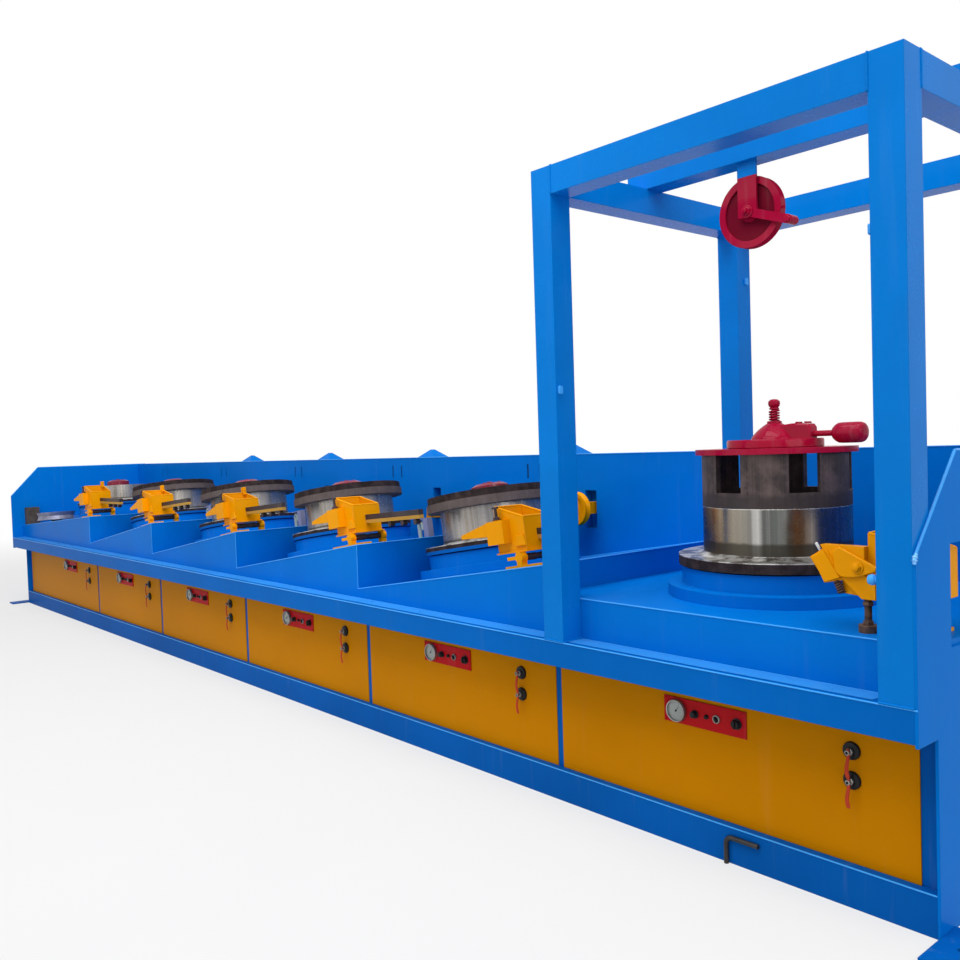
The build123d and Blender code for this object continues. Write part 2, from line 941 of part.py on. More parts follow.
# Dancer wheels in front of the wall slots, on brackets that reach into them
dancer_y = wall_front - dancer_gap
wheel_back = dancer_y + dancer_width / 2
arm_front = wheel_back + dancer_collar
dancer_section = wheel_section(
    dancer_radius, dancer_width, dancer_groove, dancer_rim, dancer_hub, dancer_web, dancer_bore
)
for bay in inclined:
    with BuildPart() as wheel:
        with BuildSketch(Plane.XY):
            with BuildLine():
                Polyline(*dancer_section, close=True)
            make_face()
        revolve(axis=Axis.Y)
    offset, height = wheel_places[bay]
    wheel.part.location = Location((bay_left(bay) + offset, dancer_y, height))
    save(wheel.part, f"dancer_wheel_{bay}")

with BuildPart() as dancer_brackets:
    for bay, (offset, height) in wheel_places.items():
        x = bay_left(bay) + offset
        slot_x = bay_left(bay) + slot_offset
        with BuildSketch(Plane.XZ.offset(-arm_front)):
            with Locations((slot_x, height)):
                Rectangle(arm_width, arm_height)
        extrude(amount=-(wall_front + slot_depth - arm_front))
        with BuildSketch(Plane.XZ.offset(-arm_front)):
            with Locations((x, height)):
                Circle(dancer_hub)
            with Locations(((x + slot_x) / 2, height)):
                Rectangle(abs(x - slot_x), 2 * link_radius)
            with BuildLine():
                Polyline(
                    (slot_x - link_radius, height),
                    (slot_x + link_radius, height),
                    (slot_x + link_x + link_radius, height + link_z),
                    (slot_x + link_x - link_radius, height + link_z),
                    close=True,
                )
            make_face()
        extrude(amount=-link_thickness)
        with BuildSketch(Plane.XZ.offset(-arm_front)):
            with Locations((x, height)):
                Circle(dancer_hub)
        extrude(amount=dancer_collar - fit)
        with BuildSketch(Plane.XZ.offset(-arm_front)):
            with Locations((x, height)):
                Circle(dancer_bore)
        extrude(amount=dancer_collar + dancer_width + fit)
        with BuildSketch(Plane.XZ.offset(-(dancer_y - dancer_width / 2 - fit))):
            with Locations((x, height)):
                Circle(retainer_radius)
        extrude(amount=retainer_thickness)
save(dancer_brackets.part, "dancer_brackets")

# Control plates on the front panels
with BuildPart() as control_plates:
    with BuildSketch(Plane.XZ.offset(-panel_front)):
        for x0, x1 in panel_spans:
            inset = last_control_inset if x1 > joints[1] else control_inset
            with Locations((x1 - inset, rail_bottom - control_drop - control_height / 2)):
                Rectangle(control_width, control_height)
    extrude(amount=control_thickness)
save(control_plates.part, "control_plates")

# Valve plates with their levers
with BuildPart() as valve_plates:
    with BuildSketch(Plane.XZ.offset(-panel_front)):
        for x0, x1 in panel_spans:
            for z in valve_heights:
                with Locations((x1 - valve_inset, z)):
                    Circle(valve_radius)
    extrude(amount=valve_thickness)
    with BuildSketch(Plane.XZ.offset(-panel_front)):
        for x0, x1 in panel_spans:
            for z in valve_heights:
                with Locations((x1 - valve_inset, z)):
                    Circle(stem_pin_radius)
    extrude(amount=lever_standoff)
save(valve_plates.part, "valve_plates")

with BuildPart() as valve_levers:
    with BuildSketch(Plane.XZ.offset(-(panel_front - lever_standoff))):
        for x0, x1 in panel_spans:
            for z in valve_heights:
                with Locations((x1 - valve_inset, z - lever_length / 2 + lever_width)):
                    Rectangle(lever_width, lever_length)
    extrude(amount=lever_thickness)
save(valve_levers.part, "valve_levers")

# Motor covers behind the wall, each with a hipped roof
with BuildPart() as motor_covers:
    for joint in joints[1:-1]:
        cover_middle = (joint + cover_side_offset, rear + cover_depth / 2)
        with BuildSketch():
            with Locations(cover_middle):
                Rectangle(cover_width, cover_depth)
        extrude(amount=cover_eaves)
        with BuildSketch(Plane.XY.offset(cover_eaves)):
            with Locations(cover_middle):
                Rectangle(cover_width, cover_depth)
        with BuildSketch(Plane.XY.offset(cover_peak)):
            with Locations(cover_middle):
                Rectangle(cover_tip, cover_tip)
        loft()
save(motor_covers.part, "motor_covers")

# Entry guide box at the far end, and the guide wheel on its spindle
guide_box_offset = inner_left + guide_box_gap + guide_box_length / 2 - bay_left(entry_bay)
guide_plane = deck_plane(entry_bay, guide_wheel_offset, guide_wheel_setback)
with BuildPart() as entry_guide:
    with BuildSketch(deck_plane(entry_bay, guide_box_offset, guide_box_setback)):
        Rectangle(guide_box_length, guide_box_width)
    extrude(amount=guide_box_height)
    with BuildSketch(guide_plane):
        Circle(2 * guide_spindle_radius)
    extrude(amount=guide_wheel_gap - fit)
    with BuildSketch(guide_plane):
        Circle(guide_spindle_radius)
    extrude(amount=guide_wheel_gap + guide_wheel_width)
save(entry_guide.part, "entry_guide")

with BuildPart() as entry_wheel:
    with BuildSketch(Plane.XZ):
        with BuildLine():
            Polyline(
                (guide_spindle_radius + fit, guide_wheel_gap),
                (guide_wheel_radius, guide_wheel_gap),
                (guide_wheel_radius - guide_wheel_groove, guide_wheel_gap + guide_wheel_width / 2),
                (guide_wheel_radius, guide_wheel_gap + guide_wheel_width),
                (guide_spindle_radius + fit, guide_wheel_gap + guide_wheel_width),
                close=True,
            )
        make_face()
    revolve(axis=Axis.Z)
entry_wheel.part.location = guide_plane.location
save(entry_wheel.part, "entry_wheel")

# Pipe stands: a bracket with its cap plate and a bent pipe, at the top of each incline
with BuildPart() as guide_stands:
    for bay in inclined[1:]:
        offset = joints[bay - 1] - stand_inset - bay_left(bay)
        plane = deck_plane(bay, offset, stand_setback)
        side = Plane(origin=plane.origin, x_dir=plane.x_dir, z_dir=-plane.y_dir)
        with BuildSketch(plane):
            Rectangle(stand_length, stand_width)
        extrude(amount=stand_height)
        with BuildSketch(plane.offset(stand_height)):
            with Locations(((stand_length - stand_cap_length) / 2, 0)):
                Rectangle(stand_cap_length, stand_width)
        extrude(amount=stand_cap_thickness)
        near = -stand_length / 2 - hook_gap
        with BuildLine(side) as hook:
            rise = Line((near - hook_span, 0), (near - hook_span, hook_height))
            bend = ThreePointArc(
                rise @ 1, (near - hook_span / 2, hook_height + hook_span / 2), (near, hook_height)
            )
            Line(bend @ 1, (near, hook_height - hook_drop))
        with BuildSketch(plane):
            with Locations((near - hook_span, 0)):
                Circle(hook_radius)
        sweep(path=hook.wires()[0])
save(guide_stands.part, "guide_stands")

# Foot pedal rod against the front of the base
pedal_x = right_end - pedal_offset
with BuildPart() as pedal_rod:
    with BuildLine(Plane.XZ.offset(pedal_radius - base_front)) as pedal_path:
        FilletPolyline(
            (pedal_x, 0), (pedal_x, pedal_height), (pedal_x + pedal_run, pedal_height), radius=pedal_bend
        )
    with BuildSketch(Plane.XY):
        with Locations((pedal_x, base_front - pedal_radius)):
            Circle(pedal_radius)
    sweep(path=pedal_path.wires()[0])
save(pedal_rod.part, "pedal_rod")
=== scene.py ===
"""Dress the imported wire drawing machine: finishes, fittings, studio and camera."""
import json
import logging
from dataclasses import dataclass, field
from enum import Enum
from functools import lru_cache
from math import atan2, cos, pi, radians, sin, tan
from typing import Sequence

import bpy
import numpy as np
from mathutils import Matrix


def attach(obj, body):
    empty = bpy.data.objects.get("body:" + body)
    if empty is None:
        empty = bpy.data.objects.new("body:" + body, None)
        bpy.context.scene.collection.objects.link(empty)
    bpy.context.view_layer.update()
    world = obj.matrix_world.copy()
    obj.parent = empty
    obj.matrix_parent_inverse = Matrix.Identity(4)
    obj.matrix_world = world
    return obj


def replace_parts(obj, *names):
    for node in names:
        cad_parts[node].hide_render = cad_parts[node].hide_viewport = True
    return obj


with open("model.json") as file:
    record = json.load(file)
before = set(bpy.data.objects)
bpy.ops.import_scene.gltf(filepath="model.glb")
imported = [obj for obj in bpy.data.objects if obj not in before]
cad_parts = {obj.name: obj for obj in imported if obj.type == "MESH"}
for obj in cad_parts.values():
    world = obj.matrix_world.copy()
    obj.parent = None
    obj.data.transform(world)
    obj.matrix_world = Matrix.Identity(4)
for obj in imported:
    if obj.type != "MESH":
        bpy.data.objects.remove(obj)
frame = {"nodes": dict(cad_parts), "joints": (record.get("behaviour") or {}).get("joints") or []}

log = logging.getLogger("drawing_machine")
SHARP_ANGLE = radians(38.0)
Array = np.ndarray
Colour = tuple[float, float, float]


# Surfaces


@dataclass
class Shape:
    """A closed surface in metres: points, all faces' corners in one run, and each face's size."""

    points: Array
    corners: Array
    sizes: Array

    def moved(self, matrix: Array) -> "Shape":
        """Return the shape carried by a 4x4 matrix."""
        return Shape(self.points @ matrix[:3, :3].T + matrix[:3, 3], self.corners, self.sizes)

    def shifted(self, x: float = 0.0, y: float = 0.0, z: float = 0.0) -> "Shape":
        """Return the shape moved along the axes."""
        return Shape(self.points + (x, y, z), self.corners, self.sizes)

    @staticmethod
    def joined(shapes: Sequence["Shape"]) -> "Shape":
        """Return several shapes as one.

        Args:
            shapes: the shapes, in the order that their points keep.

        Returns:
            One shape, in which each shape's corners count on from the points before it.
        """
        starts = np.cumsum([0] + [len(s.points) for s in shapes[:-1]])
        return Shape(
            np.vstack([s.points for s in shapes]),
            np.concatenate([s.corners + start for s, start in zip(shapes, starts)]),
            np.concatenate([s.sizes for s in shapes]),
        )

    def faces(self) -> list[list[int]]:
        """Return each face's corners as a list."""
        return [face.tolist() for face in np.split(self.corners, np.cumsum(self.sizes)[:-1])]

    def repeated(self, places: Sequence[Array]) -> "Shape":
        """Return one copy of the shape at each 4x4 matrix."""
        return Shape.joined([self.moved(place) for place in places])


def grid_shape(points: Array, ring: bool = False) -> Shape:
    """Close a grid of points whose rows are rings round a path.

    Args:
        points: rows along the path, columns round the section, then x, y and z.
        ring: join the last row to the first instead of capping both ends.

    Returns:
        The surface with its quads facing outwards.
    """
    rows, columns = points.shape[:2]
    last = rows if ring else rows - 1
    i, j = np.meshgrid(np.arange(last), np.arange(columns), indexing="ij")
    this_row, next_row = i * columns, (i + 1) % rows * columns
    after = (j + 1) % columns
    quads = np.stack([this_row + j, this_row + after, next_row + after, next_row + j], axis=-1)
    corners, sizes = quads.reshape(-1), np.full(last * columns, 4)
    if not ring:
        ends = np.arange(columns)
        corners = np.concatenate([corners, ends[::-1], ends + (rows - 1) * columns])
        sizes = np.append(sizes, [columns, columns])
    return Shape(points.reshape(-1, 3), corners, sizes)


def unit(vector: Sequence[float]) -> Array:
    """Return a vector at length one."""
    vector = np.asarray(vector, float)
    return vector / np.linalg.norm(vector, axis=-1, keepdims=True)


def placed(
    origin: Sequence[float], z: Sequence[float] = (0, 0, 1), x: Sequence[float] = (1, 0, 0)
) -> Array:
    """Work out a place from two directions.

    Args:
        origin: the place's own zero.
        z: the direction of its z.
        x: the direction that its x follows as nearly as z allows.

    Returns:
        The 4x4 matrix of the place.
    """
    z_axis = unit(z)
    y_axis = unit(np.cross(z_axis, x))
    matrix = np.eye(4)
    matrix[:3, 0] = np.cross(y_axis, z_axis)
    matrix[:3, 1] = y_axis
    matrix[:3, 2] = z_axis
    matrix[:3, 3] = origin
    return matrix


def shifted(place: Array, x: float = 0.0, y: float = 0.0, z: float = 0.0) -> Array:
    """Move a place along its own axes.

    Args:
        place: the matrix to start from.
        x: distance along its own x.
        y: distance along its own y.
        z: distance along its own z.

    Returns:
        The matrix of the new place.
    """
    matrix = place.copy()
    matrix[:3, 3] = place[:3, :3] @ (x, y, z) + place[:3, 3]
    return matrix


def turned(profile: Sequence[tuple[float, float]], segments: int = 32, ring: bool = False) -> Shape:
    """Turn a profile round its own z axis.

    The point at height h and angle a is (r cos a, r sin a, h), for each radius r and height h.

    Args:
        profile: radius and height of each row, up the outside.
        segments: points round the turn.
        ring: the profile closes on itself.

    Returns:
        The turned surface.
    """
    radius, height = np.array(profile, float).T
    angle = np.linspace(0, 2 * pi, segments, endpoint=False)
    points = np.stack([
        np.outer(radius, np.cos(angle)), np.outer(radius, np.sin(angle)),
        np.outer(height, np.ones(segments)),
    ], axis=-1)
    return grid_shape(points, ring)


def carried(
    path: Array, section: Array, scale: Array | None = None, side: Sequence[float] = (0, 0, 1)
) -> Shape:
    """Carry a flat section along a path.

    Each row is the path's point plus the section's first number along e1 and its second along e2.
    e1 is square to the path and to the side direction, and e2 is square to the path and to e1.

    Args:
        path: points along the middle.
        section: corners of the section, anticlockwise.
        scale: size of the section at each point, one number or two.
        side: a direction that the path never follows.

    Returns:
        The closed surface.
    """
    path = np.asarray(path, float)
    along = unit(np.gradient(path, axis=0))
    first = unit(np.cross(np.asarray(side, float), along))
    second = np.cross(along, first)
    sizes = np.broadcast_to(1.0 if scale is None else np.asarray(scale, float), (2, len(path))).T
    one = section[None, :, 0] * sizes[:, :1]
    two = section[None, :, 1] * sizes[:, 1:]
    across = one[..., None] * first[:, None, :]
    return grid_shape(path[:, None, :] + across + two[..., None] * second[:, None, :])


def circle(radius: float, sides: int = 12) -> Array:
    """Return the corners of a circle, anticlockwise."""
    angle = np.linspace(0, 2 * pi, sides, endpoint=False)
    return np.stack([radius * np.cos(angle), radius * np.sin(angle)], axis=-1)


def rounded(width: float, height: float, radius: float, per_corner: int = 4) -> Array:
    """Draw a rounded rectangle: a quarter circle about each corner's centre.

    Args:
        width: size along x.
        height: size along y.
        radius: radius of the corners.
        per_corner: points on each corner.

    Returns:
        The outline, anticlockwise.
    """
    angle = np.linspace(0, pi / 2, per_corner)
    quarters = [angle + k * pi / 2 for k in range(4)]
    centres = [(1, 1), (-1, 1), (-1, -1), (1, -1)]
    reach = np.array([width / 2 - radius, height / 2 - radius])
    return np.vstack([
        np.array(centre) * reach + radius * np.stack([np.cos(q), np.sin(q)], axis=-1)
        for centre, q in zip(centres, quarters)
    ])


def inset(outline: Array, distance: float) -> Array:
    """Move an outline inwards: each corner goes along the mean of its two sides' inward normals.

    Args:
        outline: corners, anticlockwise.
        distance: how far each side moves.

    Returns:
        The smaller outline.
    """
    after = unit(np.roll(outline, -1, axis=0) - outline)
    before = np.roll(after, 1, axis=0)
    inward = np.stack([-(after + before)[:, 1], (after + before)[:, 0]], axis=-1)
    size = np.linalg.norm(inward, axis=1, keepdims=True)
    return outline + inward / size**2 * 2 * distance


def slab(outline: Array, depth: float, bevel: float = 0.0015) -> Shape:
    """Raise an outline into a plate: four rows, of which the first and last are moved inwards.

    Args:
        outline: corners of the plate, anticlockwise.
        depth: thickness along z.
        bevel: width of the bevel round each face.

    Returns:
        The plate, standing on z = 0.
    """
    small = inset(outline, bevel)
    rows = [(small, 0.0), (outline, bevel), (outline, depth - bevel), (small, depth)]
    return grid_shape(np.stack([np.column_stack([o, np.full(len(o), z)]) for o, z in rows]))


def rod(start: Sequence[float], end: Sequence[float], radius: float, sides: int = 12) -> Shape:
    """Turn a straight rod with small bevels at its ends.

    Args:
        start: middle of its first face.
        end: middle of its last face.
        radius: the rod's radius.
        sides: points round it.

    Returns:
        The rod.
    """
    start, end = np.asarray(start, float), np.asarray(end, float)
    size = np.linalg.norm(end - start)
    edge = min(radius * 0.3, size * 0.2)
    profile = [(radius - edge, 0), (radius, edge), (radius, size - edge), (radius - edge, size)]
    direction = (end - start) / size
    across = (0, 0, 1) if abs(direction[2]) < 0.9 else (1, 0, 0)
    return turned(profile, sides).moved(placed(start, direction, np.cross(direction, across)))


def hex_bolt(radius: float, height: float) -> Shape:
    """Make a hexagon head on its washer, whose profile is in shares of the head's radius.

    Args:
        radius: the head's radius over its corners.
        height: the head's height.

    Returns:
        The bolt, standing on its own z axis.
    """
    washer = turned([(radius * 1.25, 0), (radius * 1.4, radius * 0.06),
                     (radius * 1.4, radius * 0.2), (radius * 1.2, radius * 0.26)], 20)
    return Shape.joined([washer, slab(circle(radius, 6), height, radius * 0.12)])


def helix(radius: float, pitch: float, turns: float, wire: float) -> Shape:
    """Wind a coil: at angle t the wire's middle is (r cos t, r sin t, pitch t / 2 pi).

    Args:
        radius: radius of the wire's middle.
        pitch: rise in one turn.
        turns: how many turns.
        wire: the wire's radius.

    Returns:
        The coil, which starts at z = 0.
    """
    t = np.linspace(0, 2 * pi * turns, int(20 * turns) + 1)
    path = np.stack([radius * np.cos(t), radius * np.sin(t), pitch * t / (2 * pi)], axis=-1)
    return carried(path, circle(wire, 8))


# Shader expressions


class Value:
    """A number on the surface: operators add Math nodes to its shader."""

    def __init__(self, shader: "Shader", socket: bpy.types.NodeSocket) -> None:
        """Wrap a socket of a shader."""
        self.shader = shader
        self.socket = socket

    def _maths(self, operation: str, *values: "Value | float") -> "Value":
        """Add one Math node that works on the given values."""
        return self.shader.node("ShaderNodeMath", {"operation": operation}, dict(enumerate(values)))

    def __add__(self, other: "Value | float") -> "Value":
        """Add."""
        return self._maths("ADD", self, other)

    __radd__ = __add__

    def __sub__(self, other: "Value | float") -> "Value":
        """Take away."""
        return self._maths("SUBTRACT", self, other)

    def __rsub__(self, other: "Value | float") -> "Value":
        """Take from a number."""
        return self._maths("SUBTRACT", other, self)

    def __mul__(self, other: "Value | float") -> "Value":
        """Multiply."""
        return self._maths("MULTIPLY", self, other)

    __rmul__ = __mul__

    def step(self, low: float, high: float) -> "Value":
        """Rise smoothly from 0 to 1.

        Args:
            low: the value up to which the result is 0.
            high: the value from which the result is 1.

        Returns:
            The share between them.
        """
        return self.shader.node(
            "ShaderNodeMapRange", {"interpolation_type": "SMOOTHSTEP"},
            {"Value": self, "From Min": low, "From Max": high},
        )


class Shader:
    """The nodes of a material or of the world, with the surface that they feed."""

    def __init__(
        self, owner: bpy.types.Material | bpy.types.World, surface: str = "Principled BSDF"
    ) -> None:
        """Start on the owner's own nodes.

        Args:
            owner: the material or world to work on.
            surface: the node that the values feed.
        """
        self.owner = owner
        owner.use_nodes = True
        self.tree = owner.node_tree
        self.surface = self.tree.nodes[surface]

    def _feed(self, socket: bpy.types.NodeSocket, value: object) -> None:
        """Link or set one input socket.

        Args:
            socket: the input.
            value: a Value to link, or a number, colour or vector to set.
        """
        if isinstance(value, Value):
            self.tree.links.new(value.socket, socket)
        elif isinstance(value, tuple) and len(value) == 3 and socket.type == "RGBA":
            socket.default_value = (*value, 1.0)
        else:
            socket.default_value = value

    def node(
        self, kind: str, settings: dict | None = None, inputs: dict | None = None,
        out: int | str = 0,
    ) -> Value:
        """Add a node: its settings come first, and then its inputs.

        Args:
            kind: the node's type.
            settings: its own settings, and the stops of a ramp under "stops".
            inputs: values or links by socket name or number.
            out: the output to return.

        Returns:
            The chosen output.
        """
        made = self.tree.nodes.new(kind)
        for key, value in (settings or {}).items():
            if key == "stops":
                ramp = made.color_ramp
                while len(ramp.elements) < len(value):
                    ramp.elements.new(0.5)
                for element, (place, colour) in zip(ramp.elements, value):
                    element.position = place
                    element.color = (*colour, 1.0)
            else:
                setattr(made, key, value)
        for key, value in (inputs or {}).items():
            self._feed(made.inputs[key], value)
        return Value(self, made.outputs[out])

    def dress(self, values: dict) -> None:
        """Feed sockets of the Principled surface."""
        for key, value in values.items():
            self._feed(self.surface.inputs[key], value)

    def point(self) -> Value:
        """Return the object's own coordinates."""
        return self.node("ShaderNodeTexCoord", out="Object")

    def vector(
        self, operation: str, first: object, second: object = None, out: int | str = 0
    ) -> Value:
        """Add a Vector Math node."""
        inputs = {0: first} if second is None else {0: first, 1: second}
        return self.node("ShaderNodeVectorMath", {"operation": operation}, inputs, out)

    def seen(self) -> Value:
        """Return 1 on rays from the camera, and on those by way of gloss or glass."""
        camera, glossy, through = [
            self.node("ShaderNodeLightPath", out=f"Is {kind} Ray")
            for kind in ("Camera", "Glossy", "Transmission")
        ]
        return (camera + glossy + through).step(0.0, 1.0)

    def glow_over(self, output: str, share: Value, kind: str) -> None:
        """Show plain white over the surface.

        Args:
            output: name of the output node.
            share: how much of the white shows.
            kind: type of the node that glows, an emission or a background.
        """
        glow = self.node(kind, None, {"Color": (1.0, 1.0, 1.0), "Strength": 1.0})
        below = Value(self, self.surface.outputs[0])
        mixed = self.node("ShaderNodeMixShader", None, {0: share, 1: below, 2: glow})
        self._feed(self.tree.nodes[output].inputs["Surface"], mixed)

    def stretched(self, point: Value, scale: tuple[float, float, float]) -> Value:
        """Return a point scaled by three numbers."""
        return self.vector("MULTIPLY", point, scale)

    def noise(self, point: Value, scale: float, detail: float = 3.0, rough: float = 0.5) -> Value:
        """Return noise from 0 to 1."""
        return self.node("ShaderNodeTexNoise", None, {
            "Vector": point, "Scale": scale, "Detail": detail, "Roughness": rough})

    def blend(self, share: "Value | float", first: object, second: object) -> Value:
        """Mix two colours."""
        return self.node("ShaderNodeMix", {"data_type": "RGBA"}, {0: share, 6: first, 7: second}, 2)

    def bump(self, height: Value, soft_edge: float = 0.0) -> Value:
        """Turn a height into a normal.

        Args:
            height: height of the surface, in metres.
            soft_edge: radius over which edges look rounded, in metres.

        Returns:
            The normal.
        """
        inputs = {"Height": height, "Distance": 1.0, "Strength": 1.0}
        if soft_edge:
            inputs["Normal"] = self.node("ShaderNodeBevel", {"samples": 4}, {"Radius": soft_edge})
        return self.node("ShaderNodeBump", None, inputs)


def shade(colour: Colour, share: float) -> Colour:
    """Return a colour made darker or lighter."""
    return tuple(min(1.0, c * share) for c in colour)


# Finishes


@dataclass(frozen=True)
class Paint:
    """Sprayed gloss paint on sheet: waves in the sheet, orange peel, dust runs and small chips."""

    name: str
    colour: Colour
    roughness: float = 0.32
    coat: float = 0.03
    mottle: float = 0.14
    wave: float = 0.0011
    peel: float = 0.00003
    dust: float = 0.015
    chips: float = 0.0
    soft_edge: float = 0.004
    gloss: float = 1.07
    dust_tint: Colour = (0.55, 0.54, 0.52)
    primer: Colour = (0.09, 0.06, 0.045)
    run_scale: tuple[float, float, float] = (26.0, 26.0, 1.6)

    def build(self, shader: Shader) -> None:
        """Lay broad, cloudy and fine tones of the colour, then dust runs, chips and the relief.

        Args:
            shader: the material's nodes.
        """
        point = shader.point()
        broad = shader.noise(point, 1.1, 3.0)
        cloud = shader.noise(point, 7.0, 5.0, 0.6)
        fine = shader.noise(point, 90.0, 4.0, 0.6)
        tone = broad.step(0.3, 0.7) * 0.5 + cloud * 0.35 + fine * 0.15
        dark, pale = shade(self.colour, 1 - self.mottle), shade(self.colour, 1 + self.mottle)
        colour = shader.blend(tone, dark, pale)
        runs = shader.noise(shader.stretched(point, self.run_scale), 1.0, 4.0, 0.55)
        stain = runs.step(0.56, 0.8) * self.dust
        colour = shader.blend(stain, colour, self.dust_tint)
        if self.chips:
            spots = shader.noise(point, 34.0, 6.0, 0.7).step(0.72, 0.76) * self.chips
            colour = shader.blend(spots, colour, self.primer)
        rough = self.roughness + (cloud - 0.5) * 0.16 + stain * 0.8 + (fine - 0.5) * 0.08
        waves, peel = shader.noise(point, 2.6, 2.0), shader.noise(point, 420.0, 1.0)
        height = waves * self.wave + peel * self.peel
        strongest = max(self.colour)
        shader.dress({
            "Base Color": colour, "Roughness": rough, "Normal": shader.bump(height, self.soft_edge),
            "Coat Weight": self.coat, "Coat Roughness": 0.1, "IOR": self.gloss,
            "Specular Tint": tuple(0.25 + 0.75 * c / strongest for c in self.colour),
        })


@dataclass(frozen=True)
class Metal:
    """Bare or oxidised metal with brushed streaks along one direction and blotches."""

    name: str
    colour: Colour
    dark: Colour
    metallic: float = 1.0
    roughness: float = 0.35
    grain: tuple[float, float, float] = (60.0, 60.0, 4.0)
    blotch: float = 9.0
    pitting: float = 0.0001

    def build(self, shader: Shader) -> None:
        """Blend the two tones by blotches and streaks, and pit the surface.

        Args:
            shader: the material's nodes.
        """
        point = shader.point()
        streak = shader.noise(shader.stretched(point, self.grain), 1.0, 4.0, 0.6)
        patch = shader.noise(point, self.blotch, 5.0, 0.62)
        tone = patch.step(0.35, 0.68) * 0.6 + streak * 0.4
        rough = self.roughness + (streak - 0.5) * 0.22 + (0.6 - patch) * 0.2
        pits = shader.noise(point, 160.0, 3.0, 0.6) * self.pitting + streak * self.pitting * 0.6
        shader.dress({
            "Base Color": shader.blend(tone, self.dark, self.colour), "Metallic": self.metallic,
            "Roughness": rough, "Normal": shader.bump(pits, 0.002),
        })


